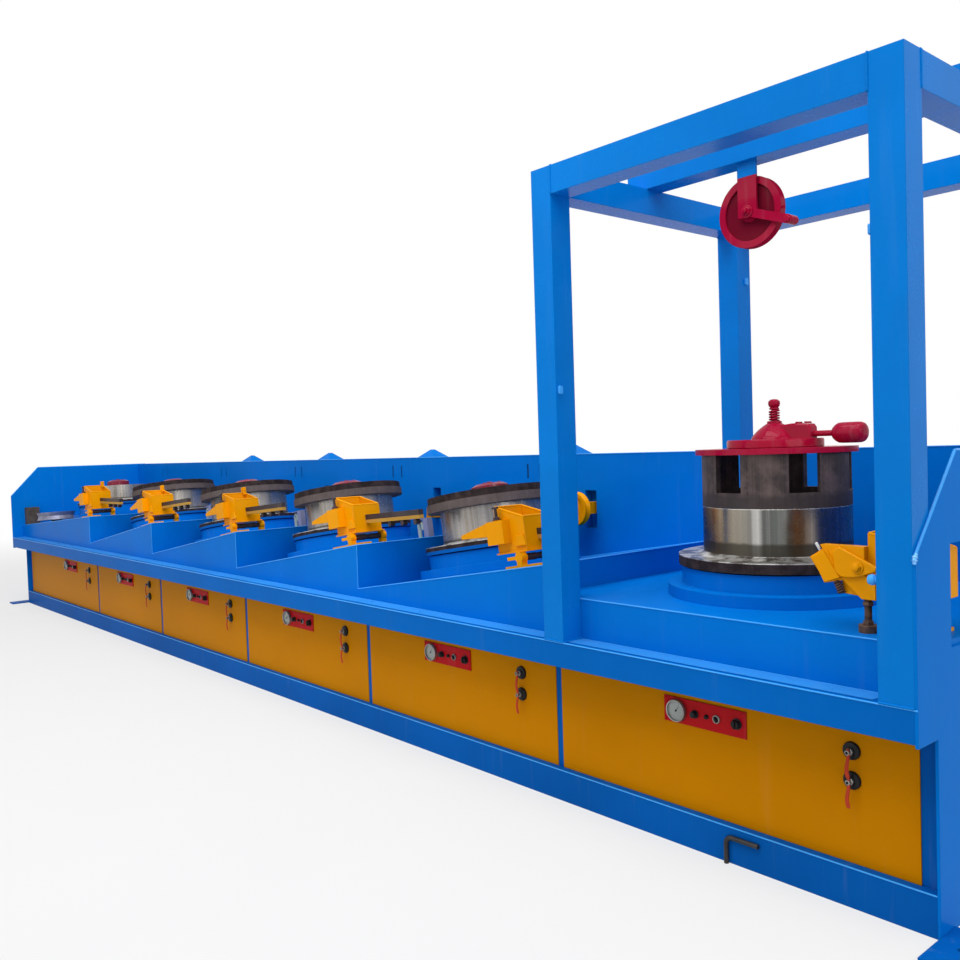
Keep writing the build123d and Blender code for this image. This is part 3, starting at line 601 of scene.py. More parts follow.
@dataclass(frozen=True)
class DrumSteel:
    """A turned drum: oily foot, ground working face, smeared flange and oxidised bands at the top.

    Heights are along the drum's axis from its deck, and streaks follow the angle round it. The last
    block's drum has its tones by angle, its own tones with painted reflections and painted shade
    round it, and a painted highlight above its edge; the tilted ones have a painted skirt below the
    flange.
    """

    name: str
    origin: tuple[float, float, float]
    axis: tuple[float, float, float]
    flange: float = 0.168
    edge: float = 0.3655
    oil_top: float = 0.20
    band: float = 0.356
    upper_band: float = 0.402
    skirt: float = 0.145
    skirt_paint: Colour = (0.0006, 0.115, 0.43)
    metallic: float = 0.75
    gloss: float = 1.15
    bands: bool = True
    by_angle: bool = False
    fine_scale: tuple[float, float, float] = (70.0, 70.0, 9.0)
    scuff: Colour = (0.45, 0.44, 0.42)
    grime: Colour = (0.07, 0.06, 0.05)
    oil: Colour = (0.042, 0.038, 0.028)
    # Pale tone above the last drum's edge: a painted highlight on the rim.
    bright: Colour = (0.62, 0.60, 0.57)
    smears: tuple[Colour, Colour] = ((0.13, 0.11, 0.10), (0.62, 0.61, 0.59))
    rusts: tuple[Colour, Colour] = ((0.014, 0.010, 0.011), (0.060, 0.042, 0.040))
    rim_rusts: tuple[Colour, Colour] = ((0.045, 0.033, 0.031), (0.19, 0.150, 0.140))
    # Colours by angle round the last drum: its own tones together with painted reflections and
    # painted shade.
    tones: tuple = (
        (0.00, (0.04, 0.030, 0.024)), (0.12, (0.07, 0.050, 0.030)), (0.165, (0.22, 0.155, 0.090)),
        (0.205, (0.36, 0.270, 0.17)), (0.24, (0.27, 0.235, 0.18)), (0.285, (0.22, 0.210, 0.190)),
        (0.300, (0.60, 0.585, 0.56)), (0.312, (0.12, 0.122, 0.115)), (0.355, (0.13, 0.140, 0.13)),
        (0.378, (0.27, 0.180, 0.11)), (0.400, (0.20, 0.155, 0.125)), (0.44, (0.15, 0.155, 0.17)),
        (0.50, (0.20, 0.210, 0.23)), (0.56, (0.24, 0.23, 0.22)), (0.64, (0.24, 0.19, 0.13)),
        (0.68, (0.42, 0.41, 0.39)), (0.75, (0.18, 0.18, 0.17)), (0.82, (0.22, 0.15, 0.10)),
        (0.90, (0.08, 0.09, 0.11)), (1.00, (0.04, 0.030, 0.024)),
    )
    greys: tuple = (
        (0.32, (0.18, 0.17, 0.17)), (0.42, (0.28, 0.27, 0.26)), (0.50, (0.38, 0.36, 0.34)),
        (0.58, (0.25, 0.22, 0.18)), (0.66, (0.46, 0.455, 0.45)),
    )

    def build(self, shader: Shader) -> None:
        """Lay the ground face by angle, then oil, flange, skirt and rim by height along the axis.

        Args:
            shader: the material's nodes.
        """
        point = shader.point()
        offset = shader.vector("SUBTRACT", point, self.origin)
        height = shader.vector("DOT_PRODUCT", offset, self.axis, "Value")
        lift = shader.node("ShaderNodeCombineXYZ", None, {
            0: height * self.axis[0], 1: height * self.axis[1], 2: height * self.axis[2]})
        radial = shader.vector("SUBTRACT", offset, lift)
        around = shader.vector("NORMALIZE", radial)
        wide = shader.noise(around, 2.6, 2.0, 0.5)
        narrow = shader.noise(around, 16.0, 5.0, 0.65)
        cloud = shader.noise(point, 16.0, 5.0, 0.65)
        fine = shader.noise(shader.stretched(point, self.fine_scale), 1.0, 4.0, 0.6)
        if self.by_angle:
            x, y = (shader.node("ShaderNodeSeparateXYZ", None, {0: radial}, k) for k in (0, 1))
            angle = shader.node("ShaderNodeMath", {"operation": "ARCTAN2"}, {0: y, 1: x})
            place = angle * (0.5 / pi) + 0.5 + (wide - 0.5) * 0.02
            ground = shader.node("ShaderNodeValToRGB", {"stops": self.tones}, {0: place})
        else:
            place = wide * 0.5 + narrow * 0.5
            ground = shader.node("ShaderNodeValToRGB", {"stops": self.greys}, {0: place})
        ground = shader.blend(narrow.step(0.50, 0.66) * 0.22, ground, self.scuff)
        ground = shader.blend((1 - narrow.step(0.34, 0.46)) * 0.18, ground, self.grime)
        wavy = height + (cloud - 0.5) * 0.02
        oily = 1 - wavy.step(self.oil_top - 0.004, self.oil_top + 0.012)
        working = shader.blend(oily * 0.82, ground, self.oil)
        if self.by_angle:
            # A paler band above the drum's edge: a painted highlight on the rim.
            painted_rim_highlight = height.step(self.edge, self.edge + 0.001)
            working = shader.blend(painted_rim_highlight * 0.7, working, self.bright)
        smear = shader.blend(cloud.step(0.38, 0.56), *self.smears)
        rust = shader.blend(cloud.step(0.35, 0.7) * 0.7 + fine * 0.3, *self.rusts)
        rim_rust = shader.blend(cloud * 0.6 + fine * 0.4, *self.rim_rusts)
        low = 1 - height.step(self.flange - 0.004, self.flange - 0.002)
        smeared = 1 - height.step(self.flange + 0.010, self.flange + 0.016)
        colour = shader.blend(smeared, working, smear)
        colour = shader.blend(low, colour, rust)
        bare = 1 - low
        metal = bare * self.metallic + 0.2
        if not self.by_angle:
            painted = 1 - height.step(self.skirt - 0.001, self.skirt)
            colour = shader.blend(painted, colour, self.skirt_paint)
            metal = metal * (1 - painted)
        if self.bands:
            rim = height.step(self.band - 0.0015, self.band - 0.0005)
            crown = height.step(self.upper_band - 0.0015, self.upper_band)
            colour = shader.blend(rim, colour, rim_rust)
            colour = shader.blend(crown, colour, rust)
            bare = bare * (1 - rim)
            metal = metal * (1 - rim * 0.8)
        rough = 0.62 - bare * (0.36 - (cloud - 0.5) * 0.3 - oily * 0.12)
        relief = fine * 0.00008 + cloud * (1 - bare) * 0.0005
        shader.dress({
            "Base Color": colour, "Metallic": metal, "Roughness": rough, "IOR": self.gloss,
            "Normal": shader.bump(relief, 0.002),
        })


@dataclass(frozen=True)
class CageSteel:
    """Oxidised cast steel of the cage, with dark runs down it and paler worn patches."""

    name: str
    centre: tuple[float, float, float]
    ring_top: float
    metallic: float = 0.35
    tones: tuple[Colour, Colour] = ((0.010, 0.007, 0.007), (0.130, 0.088, 0.080))
    soot: Colour = (0.026, 0.018, 0.018)

    def build(self, shader: Shader) -> None:
        """Blend the tones by runs round the axis and patches, darker on the ring below the posts.

        Args:
            shader: the material's nodes.
        """
        point = shader.point()
        offset = shader.vector("SUBTRACT", point, self.centre)
        around = shader.vector("NORMALIZE", shader.stretched(offset, (1, 1, 0)))
        runs = shader.noise(around, 14.0, 5.0, 0.62)
        patch = shader.noise(point, 11.0, 6.0, 0.66)
        fine = shader.noise(point, 95.0, 4.0, 0.6)
        tone = patch.step(0.36, 0.66) * 0.55 + runs.step(0.3, 0.7) * 0.3 + fine * 0.15
        colour = shader.blend(tone, *self.tones)
        z = shader.node("ShaderNodeSeparateXYZ", None, {0: point}, 2)
        lower = 1 - (z + (patch - 0.5) * 0.03).step(self.ring_top - 0.02, self.ring_top + 0.01)
        colour = shader.blend(lower * 0.75, colour, self.soot)
        relief = patch * 0.0012 + fine * 0.0003
        shader.dress({
            "Base Color": colour, "Metallic": self.metallic, "Roughness": 0.68 - runs * 0.2,
            "Normal": shader.bump(relief, 0.003),
        })


@dataclass(frozen=True)
class Moulding:
    """Black or white moulded plastic or enamel, almost even, with a faint grain."""

    name: str
    colour: Colour
    roughness: float = 0.35
    gloss: float = 1.25

    def build(self, shader: Shader) -> None:
        """Smudge the colour a little and grain the surface.

        Args:
            shader: the material's nodes.
        """
        point = shader.point()
        grain = shader.noise(point, 300.0, 3.0)
        smudge = shader.noise(point, 30.0, 4.0)
        shader.dress({
            "Base Color": shader.blend(smudge, shade(self.colour, 0.86), shade(self.colour, 1.1)),
            "Roughness": self.roughness + (smudge - 0.5) * 0.2,
            "Normal": shader.bump(grain * 0.00004), "IOR": self.gloss,
        })


class Finish(Enum):
    """The machine's finishes."""

    BLUE = Paint("azure gloss", (0.0006, 0.168, 0.61), chips=0.5)
    RAIL = Paint("rail azure", (0.0006, 0.124, 0.48), 0.36, 0.04, chips=0.5)
    # A lighter, greener azure for the gantry: painted light, a lit copy of the blue.
    GANTRY = Paint("gantry azure", (0.0008, 0.185, 0.62), 0.26, 0.05, 0.18, wave=0.0018, chips=0.4,
                   gloss=1.13)
    # A darker azure for the base, foot plates and posts: painted shade low down, with dust runs.
    BASE = Paint("dusty base azure", (0.0012, 0.100, 0.41), 0.42, 0.03, 0.2, dust=0.05, chips=0.6)
    # A paler azure for edges and seams: painted highlights along them.
    WELD = Paint("azure over weld", (0.05, 0.36, 0.88), 0.25, 0.15, wave=0.004, soft_edge=0.0,
                 gloss=1.2)
    # A paler azure for the ledge's top: a painted reflection of the sky, with some dust runs.
    LEDGE_REFLECTION = Paint("worn ledge azure", (0.035, 0.27, 0.70), 0.3, 0.08, 0.2, dust=0.1,
                  soft_edge=0.001, gloss=1.15)
    # The panels' yellow is a darker copy of the die boxes' yellow: painted shade on the recessed
    # panels.
    PANEL = Paint("panel orange yellow", (0.58, 0.212, 0.0003), 0.36, 0.02, 0.10)
    YELLOW = Paint("die box yellow", (0.84, 0.325, 0.001), 0.30, 0.10, 0.14, chips=0.6,
                   soft_edge=0.003)
    WORN_YELLOW = Paint("worn yellow bar", (0.50, 0.27, 0.05), 0.45, 0.1, 0.25, chips=0.9,
                        soft_edge=0.002)
    RED = Paint("crimson gloss", (0.36, 0.004, 0.032), 0.28, 0.22, 0.22, chips=0.5, dust=0.05,
                soft_edge=0.003)
    CAP_RED = Paint("faded crimson", (0.22, 0.020, 0.045), 0.34, 0.30, 0.2, chips=0.5, dust=0.3,
                    soft_edge=0.003)
    # Dark crimson for the pulley's web: painted shade in its recess.
    DARK_RED = Paint("greasy crimson", (0.15, 0.005, 0.017), 0.5, 0.05, 0.35, dust=0.04, chips=0.6,
                     soft_edge=0.0)
    PLATE_RED = Paint("plate red", (0.50, 0.008, 0.012), 0.36, 0.10, 0.10, dust=0.05,
                      soft_edge=0.001)
    LEVER_RED = Paint("lever red", (0.50, 0.055, 0.025), 0.4, 0.05, 0.25, chips=0.4, soft_edge=0.0)
    LAVENDER = Paint("stand grey", (0.26, 0.27, 0.42), 0.42, 0.2, 0.2, chips=0.4, soft_edge=0.002)
    STEEL = Metal("bright steel", (0.72, 0.71, 0.69), (0.38, 0.37, 0.36), 1.0, 0.28)
    RIM = Metal("dulled chrome", (0.44, 0.44, 0.42), (0.20, 0.20, 0.19), 0.9, 0.34)
    WHEEL = Metal("entry wheel steel", (0.30, 0.31, 0.42), (0.12, 0.12, 0.17), 0.55, 0.45)
    DARK = Metal("dark bar steel", (0.065, 0.045, 0.05), (0.018, 0.013, 0.016), 0.5, 0.5,
                 (8.0, 60.0, 60.0))
    BOX = Metal("entry box brown", (0.10, 0.075, 0.06), (0.03, 0.022, 0.018), 0.2, 0.65,
                (70.0, 70.0, 6.0))
    ROD = Metal("pedal rod steel", (0.06, 0.055, 0.055), (0.02, 0.018, 0.018), 0.7, 0.42)
    RUST = Metal("rusty thread", (0.17, 0.085, 0.045), (0.045, 0.026, 0.022), 0.3, 0.6,
                 (9.0, 9.0, 90.0), 40.0, 0.0004)
    # A bright pale blue weld: a painted highlight on the corner weld.
    WELD_HIGHLIGHT = Metal("bright weld", (0.30, 0.62, 0.95), (0.03, 0.28, 0.80), 0.4, 0.25,
                 (90.0, 90.0, 90.0), 60.0, 0.002)
    HOSE = Moulding("pale hose", (0.40, 0.47, 0.42), 0.45)
    BLACK = Moulding("black rosette", (0.012, 0.012, 0.013), 0.3)
    # Near-black blue for the slot backs: painted shade inside the slots.
    SHADE = Moulding("sooty blue", (0.004, 0.016, 0.05), 0.6)
    DIAL = Moulding("dial enamel", (0.40, 0.42, 0.38), 0.3)
    MARK = Moulding("dial black", (0.02, 0.02, 0.02), 0.5)


class Slot(str, Enum):
    """The record's material slots that new pieces take."""

    BLUE = "blue_paint"
    YELLOW = "yellow_paint"
    RED = "red_paint"
    BLACK = "black_paint"
    STEEL = "polished_steel"


@lru_cache(maxsize=None)
def material_of(finish: object) -> bpy.types.Material:
    """Build a finish's material, once.

    Args:
        finish: a member of Finish, or a finish made for one node.

    Returns:
        Its material.
    """
    maker = finish.value if isinstance(finish, Finish) else finish
    shader = Shader(bpy.data.materials.new(maker.name))
    maker.build(shader)
    return shader.owner


def add_piece(
    name: str, shape: Shape, finish: object, body: str = "frame"
) -> bpy.types.Object:
    """Make a shape into a piece of the machine.

    Args:
        name: the piece's name.
        shape: its surface, in the machine's frame.
        finish: its finish.
        body: the CAD body that it rides on.

    Returns:
        The new object.
    """
    mesh = bpy.data.meshes.new(name)
    mesh.from_pydata(shape.points.tolist(), [], shape.faces())
    mesh.polygons.foreach_set("use_smooth", np.ones(len(mesh.polygons), bool))
    mesh.set_sharp_from_angle(angle=SHARP_ANGLE)
    mesh.materials.append(material_of(finish))
    mesh.update()
    piece = bpy.data.objects.new(name, mesh)
    bpy.context.scene.collection.objects.link(piece)
    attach(piece, body)
    log.info("%s: %d points on %s", name, len(shape.points), body)
    return piece


# The machine's places


@dataclass(frozen=True)
class Layout:
    """Places along the machine, in metres, as the CAD has them."""

    right: float = 4.9425
    left: float = -4.9425
    front: float = -0.75
    rear: float = 0.75
    plate: float = 0.010
    last_bay: float = 1.65
    pitch: float = 1.5
    base_front: float = -0.618
    base_top: float = 0.135
    panel_front: float = -0.583
    deck_front: float = -0.64
    wall_front: float = 0.663
    rail_top: float = 0.739
    level: float = 0.908
    low: float = 0.790
    entry_low: float = 0.865
    high: float = 1.035
    wall_top: float = 1.498
    post: float = 0.034
    end_post: float = 0.063
    entry_bay: int = 6
    all_bays: range = range(1, 7)
    bays: range = range(2, 7)

    @property
    def inner_left(self) -> float:
        """Return x of the left end plate's inner face."""
        return self.left + self.plate

    @property
    def inner_right(self) -> float:
        """Return x of the right end plate's inner face."""
        return self.right - self.plate

    def joint(self, number: int) -> float:
        """Find a joint between bays.

        Args:
            number: 0 at the gantry end, and then one for each bay up to its left end.

        Returns:
            Its x.
        """
        if number == 0:
            return self.right
        return self.left if number == self.entry_bay else self.bay_left(number)

    def bay_left(self, bay: int) -> float:
        """Return x of the joint that a bay's fittings are measured from."""
        return self.right - self.last_bay - (bay - 1) * self.pitch

    def foot(self, bay: int) -> tuple[float, float]:
        """Return x and z of an inclined deck's low end."""
        entry = bay == self.entry_bay
        return (self.inner_left, self.entry_low) if entry else (self.joint(bay), self.low)

    def lean(self, bay: int) -> float:
        """Return a deck's slope."""
        x, z = self.foot(bay)
        return atan2(self.high - z, self.joint(bay - 1) - x)

    def deck(self, bay: int, offset: float, setback: float) -> Array:
        """Find a place on a bay's inclined deck: its z is the deck's normal and its x runs uphill.

        Args:
            bay: the bay's number.
            offset: distance along the machine from the bay's left joint.
            setback: distance behind the machine's front.

        Returns:
            The matrix of the place.
        """
        x0, z0 = self.foot(bay)
        lean = self.lean(bay)
        x = self.bay_left(bay) + offset
        origin = (x, self.front + setback, z0 + (x - x0) * tan(lean))
        return placed(origin, (-sin(lean), 0, cos(lean)), (cos(lean), 0, sin(lean)))

    def panel(self, bay: int) -> tuple[float, float]:
        """Find a bay's front panel, between posts or an end post.

        Args:
            bay: the bay's number.

        Returns:
            The left and right x of the panel.
        """
        left, right = self.joint(bay) + self.post / 2, self.joint(bay - 1) - self.post / 2
        if bay == self.entry_bay:
            left = self.inner_left + self.end_post
        if bay == 1:
            right = self.inner_right - self.end_post
        return left, right

    def face(self, x: float, y: float, z: float) -> Array:
        """Return a place on a front face: x is the machine's own, y is up and z points out."""
        return placed((x, y, z), (0, -1, 0), (1, 0, 0))


LAYOUT = Layout()


def joint_place(name: str) -> Array:
    """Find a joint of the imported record.

    Args:
        name: the joint's name.

    Returns:
        The matrix of its place, with z along its axis.
    """
    joint = next(j for j in frame["joints"] if j["name"] == name)
    axis = unit(joint["axis"])
    across = (1, 0, 0) if abs(axis[0]) < 0.9 else (0, 1, 0)
    return placed(joint["pos_m"], axis, across)


@dataclass
class CadFinishes:
    """Which finish each CAD node gets: blue, unless it is listed here or is a drum or the cage."""

    stool: float = 0.120
    last_drum_top: float = 0.369
    plain_ring: float = 0.061
    last_oil_top: float = 0.226
    oil_top: float = 0.19
    last_metallic: float = 0.75
    metallic: float = 0.35
    plain: dict = field(default_factory=lambda: {
        Finish.PANEL: ["front_panels"],
        Finish.GANTRY: ["gantry_columns", "gantry_beams", "pulley_beam"],
        Finish.RAIL: ["top_rail"],
        Finish.BASE: ["base_frame", "foot_plates", "panel_posts"],
        Finish.YELLOW: [
            "die_pedestals", "dancer_brackets", *(f"die_box_{n}" for n in LAYOUT.all_bays),
            *(f"dancer_wheel_{n}" for n in LAYOUT.bays),
        ],
        Finish.WORN_YELLOW: ["guide_rails"],
        Finish.RED: ["overhead_pulley", "pulley_hanger", "flyer", "block_1_cap"],
        Finish.CAP_RED: [f"block_{n}_cap" for n in LAYOUT.bays],
        Finish.PLATE_RED: ["control_plates"],
        Finish.LEVER_RED: ["valve_levers"],
        Finish.LAVENDER: ["guide_stands"],
        Finish.WHEEL: ["entry_wheel"],
        Finish.DARK: ["guide_bars"],
        Finish.BOX: ["entry_guide"],
        Finish.ROD: ["pedal_rod"],
        Finish.BLACK: ["valve_plates"],
    })

    def blocks(self) -> dict:
        """Return the finish of each drum, and the cage's, by node."""
        chosen = {}
        for bay in LAYOUT.all_bays:
            last = bay == 1
            place = shifted(joint_place(f"block_{bay}_spin"), z=-self.stool)
            origin = tuple(round(float(c), 5) for c in place[:3, 3])
            axis = tuple(round(float(c), 6) for c in place[:3, 2])
            chosen[f"block_{bay}_drum"] = DrumSteel(
                f"drum steel {bay}", origin, axis, by_angle=last,
                bands=not last and bay != LAYOUT.entry_bay,
                oil_top=self.last_oil_top if last else self.oil_top,
                metallic=self.last_metallic if last else self.metallic,
            )
            if last:
                top = origin[2] + self.last_drum_top + self.plain_ring
                chosen["block_1_cage"] = CageSteel("cage steel", origin, top)
        return chosen

    def apply(self) -> None:
        """Give every CAD node its finish."""
        chosen = {node: finish for finish, nodes in self.plain.items() for node in nodes}
        chosen.update(self.blocks())
        for name, node in frame["nodes"].items():
            finish = chosen.get(name, Finish.BLUE)
            node.data.materials.clear()
            node.data.materials.append(material_of(finish))
            log.info("%s: %s", name, getattr(finish, "name", finish))


@dataclass
class FrontControls:
    """Gauge, buttons and switches on each red plate, and the valves beside them."""

    inset: float = 0.768
    last_inset: float = 0.807
    height: float = 0.513
    plate: float = 0.005
    half_width: float = 0.185
    half_height: float = 0.050
    screw_inset: float = 0.009
    gauge_x: float = -0.121
    gauge_radius: float = 0.044
    ticks: int = 26
    tick: float = 0.003
    long_every: int = 5
    button_x: float = -0.039
    small_x: float = 0.014
    switch_x: float = 0.059
    knob_x: float = 0.146
    knob_radius: float = 0.0165
    flutes: int = 12
    valve_inset: float = 0.222
    valve_heights: tuple[float, float] = (0.514, 0.415)

    def plates(self) -> list[Array]:
        """Return the middle of each red plate's face."""
        insets = {bay: self.last_inset if bay == 1 else self.inset for bay in LAYOUT.all_bays}
        y = LAYOUT.panel_front - self.plate
        return [LAYOUT.face(LAYOUT.panel(bay)[1] - inset, y, self.height)
                for bay, inset in insets.items()]

    def valves(self) -> list[Array]:
        """Return the middle of each valve on its panel."""
        return [
            LAYOUT.face(LAYOUT.panel(bay)[1] - self.valve_inset, LAYOUT.panel_front, z)
            for bay in LAYOUT.all_bays for z in self.valve_heights
        ]

    def marks(self) -> Shape:
        """Return the gauge's marks, on three quarters of a circle, with its hand and nut."""
        outer = self.gauge_radius - 0.010
        marks = []
        for number, a in enumerate(np.linspace(radians(-45), radians(225), self.ticks)):
            inner = outer - self.tick * (2 if number % self.long_every == 0 else 1)
            start = (inner * cos(a), inner * sin(a), 0.0102)
            marks.append(rod(start, (outer * cos(a), outer * sin(a), 0.0102), 0.0005, 4))
        hand = np.array([(-0.0012, -0.006), (0.0012, -0.006), (0.0003, 0.024), (-0.0003, 0.024)])
        aim = placed((0, 0, 0.0108), (0, 0, 1), (0.8, -0.6, 0))
        marks.append(slab(hand, 0.001, 0.0001).moved(aim))
        marks.append(turned([(0.0035, 0.010), (0.0035, 0.013), (0.002, 0.014)], 12))
        return Shape.joined(marks)

    def gauges(self, plates: Sequence[Array]) -> None:
        """Add the gauges: a rim that stands round a sunk dial, and the marks on it.

        Args:
            plates: the middle of each red plate.
        """
        r = self.gauge_radius
        rim = turned([(r, 0), (r, 0.014), (r - 0.002, 0.018), (r - 0.0055, 0.018),
                      (r - 0.007, 0.013), (r - 0.007, 0)], 40, ring=True)
        face = [(0.0005, 0.001), (r - 0.006, 0.001), (r - 0.006, 0.010), (0.0005, 0.010)]
        places = [shifted(plate, x=self.gauge_x) for plate in plates]
        add_piece("gauge_rims", rim.repeated(places), Finish.RIM)
        add_piece("gauge_dials", turned(face, 40).repeated(places), Finish.DIAL)
        add_piece("gauge_marks", self.marks().repeated(places), Finish.MARK)

    def buttons(self, plates: Sequence[Array]) -> None:
        """Add a mushroom button in its collar and a small button on each plate.

        Args:
            plates: the middle of each red plate.
        """
        collar = turned([(0.016, 0), (0.016, 0.004), (0.0135, 0.006)], 24)
        mushroom = turned([(0.009, 0.004), (0.0095, 0.010), (0.0125, 0.012), (0.0135, 0.016),
                           (0.0115, 0.020), (0.007, 0.022), (0.001, 0.0225)], 24)
        small = turned([(0.009, 0), (0.009, 0.004), (0.007, 0.006), (0.007, 0.010),
                        (0.005, 0.012), (0.001, 0.0122)], 20)
        buttons = Shape.joined([collar.shifted(x=self.button_x), mushroom.shifted(x=self.button_x),
                                small.shifted(x=self.small_x)])
        add_piece("push_buttons", buttons.repeated(plates), Finish.BLACK)

    def switches(self, plates: Sequence[Array]) -> None:
        """Add a toggle in its ring, and a knob whose radius at angle a is r + 0.001 cos(12 a).

        Args:
            plates: the middle of each red plate.
        """
        ring = turned([(0.0165, 0), (0.0165, 0.004), (0.0145, 0.007), (0.0115, 0.007),
                       (0.0105, 0.003), (0.0105, 0)], 28, ring=True)
        places = [shifted(plate, x=self.switch_x) for plate in plates]
        add_piece("switch_rings", ring.repeated(places), Finish.RIM)
        a = np.linspace(0, 2 * pi, 48, endpoint=False)
        wave = self.knob_radius + 0.0010 * np.cos(self.flutes * a)
        fluted = np.stack([wave * np.cos(a), wave * np.sin(a)], axis=-1)
        toggle = slab(rounded(0.008, 0.024, 0.0035), 0.014, 0.002)
        toggle = toggle.moved(placed((0, 0, 0), (0, 0, 1), (0.86, 0.5, 0)))
        switch = Shape.joined([toggle, turned([(0.011, 0), (0.011, 0.006), (0.0095, 0.0075)], 24)])
        knob = Shape.joined([
            turned([(0.021, 0), (0.021, 0.003), (0.019, 0.004)], 32), slab(fluted, 0.018, 0.002),
            slab(rounded(0.006, 0.029, 0.0025), 0.024, 0.0015),
        ])
        knobs = Shape.joined([switch.shifted(x=self.switch_x), knob.shifted(x=self.knob_x)])
        add_piece("switch_knobs", knobs.repeated(plates), Finish.BLACK)

    def screws(self, plates: Sequence[Array]) -> None:
        """Add a screw at each corner of each plate.

        Args:
            plates: the middle of each red plate.
        """
        x, y = self.half_width - self.screw_inset, self.half_height - self.screw_inset
        places = [shifted(plate, x=sx * x, y=sy * y) for plate in plates
                  for sx in (-1, 1) for sy in (-1, 1)]
        screw = turned([(0.004, 0), (0.004, 0.001), (0.0028, 0.0024), (0.0008, 0.0028)], 12)
        add_piece("plate_screws", screw.repeated(places), Finish.PLATE_RED)

    def handle(self) -> Shape:
        """Return a valve handle: a bar that leaves the stem, bends outwards and hangs down.

        Along its length s the middle drops by 0.098 s, stands out by 0.006 sin(pi s) and sways by
        0.003 sin(2 pi s), and its width swells and then rounds off at the end.
        """
        s = np.linspace(0, 1, 20)
        sway, stand_out = 0.003 * np.sin(2 * pi * s), 0.0285 + 0.006 * np.sin(pi * s)
        path = np.stack([sway, 0.012 - 0.098 * s, stand_out], axis=-1)
        widths = 0.52 + 0.36 * s - 0.45 * np.exp(-((s - 1.02) / 0.05) ** 2)
        return carried(path, rounded(0.017, 0.005, 0.0022, 3), np.stack([widths, np.ones_like(s)]))

    def taps(self) -> None:
        """Add the valves' rosettes and stems, and the handles, which stand for their CAD node."""
        valves = self.valves()
        rosette = turned([(0.0305, 0), (0.0305, 0.005), (0.028, 0.0095), (0.021, 0.0118),
                          (0.013, 0.0125)], 36)
        add_piece("valve_rosettes", rosette.repeated(valves), Finish.BLACK)
        stem = Shape.joined([
            slab(circle(0.0125, 6), 0.010, 0.0015).shifted(z=0.0118),
            turned([(0.0070, 0.02), (0.0070, 0.034), (0.0050, 0.0365)], 16),
            slab(circle(0.0092, 6), 0.005, 0.001).shifted(z=0.0315),
        ])
        add_piece("valve_stems", stem.repeated(valves), Finish.RIM)
        handles = self.handle().repeated(valves)
        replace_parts(add_piece("valve_handles", handles, Finish.LEVER_RED), "valve_levers")

    def build(self) -> None:
        """Add the controls."""
        plates = self.plates()
        self.gauges(plates)
        self.buttons(plates)
        self.switches(plates)
        self.screws(plates)
        self.taps()


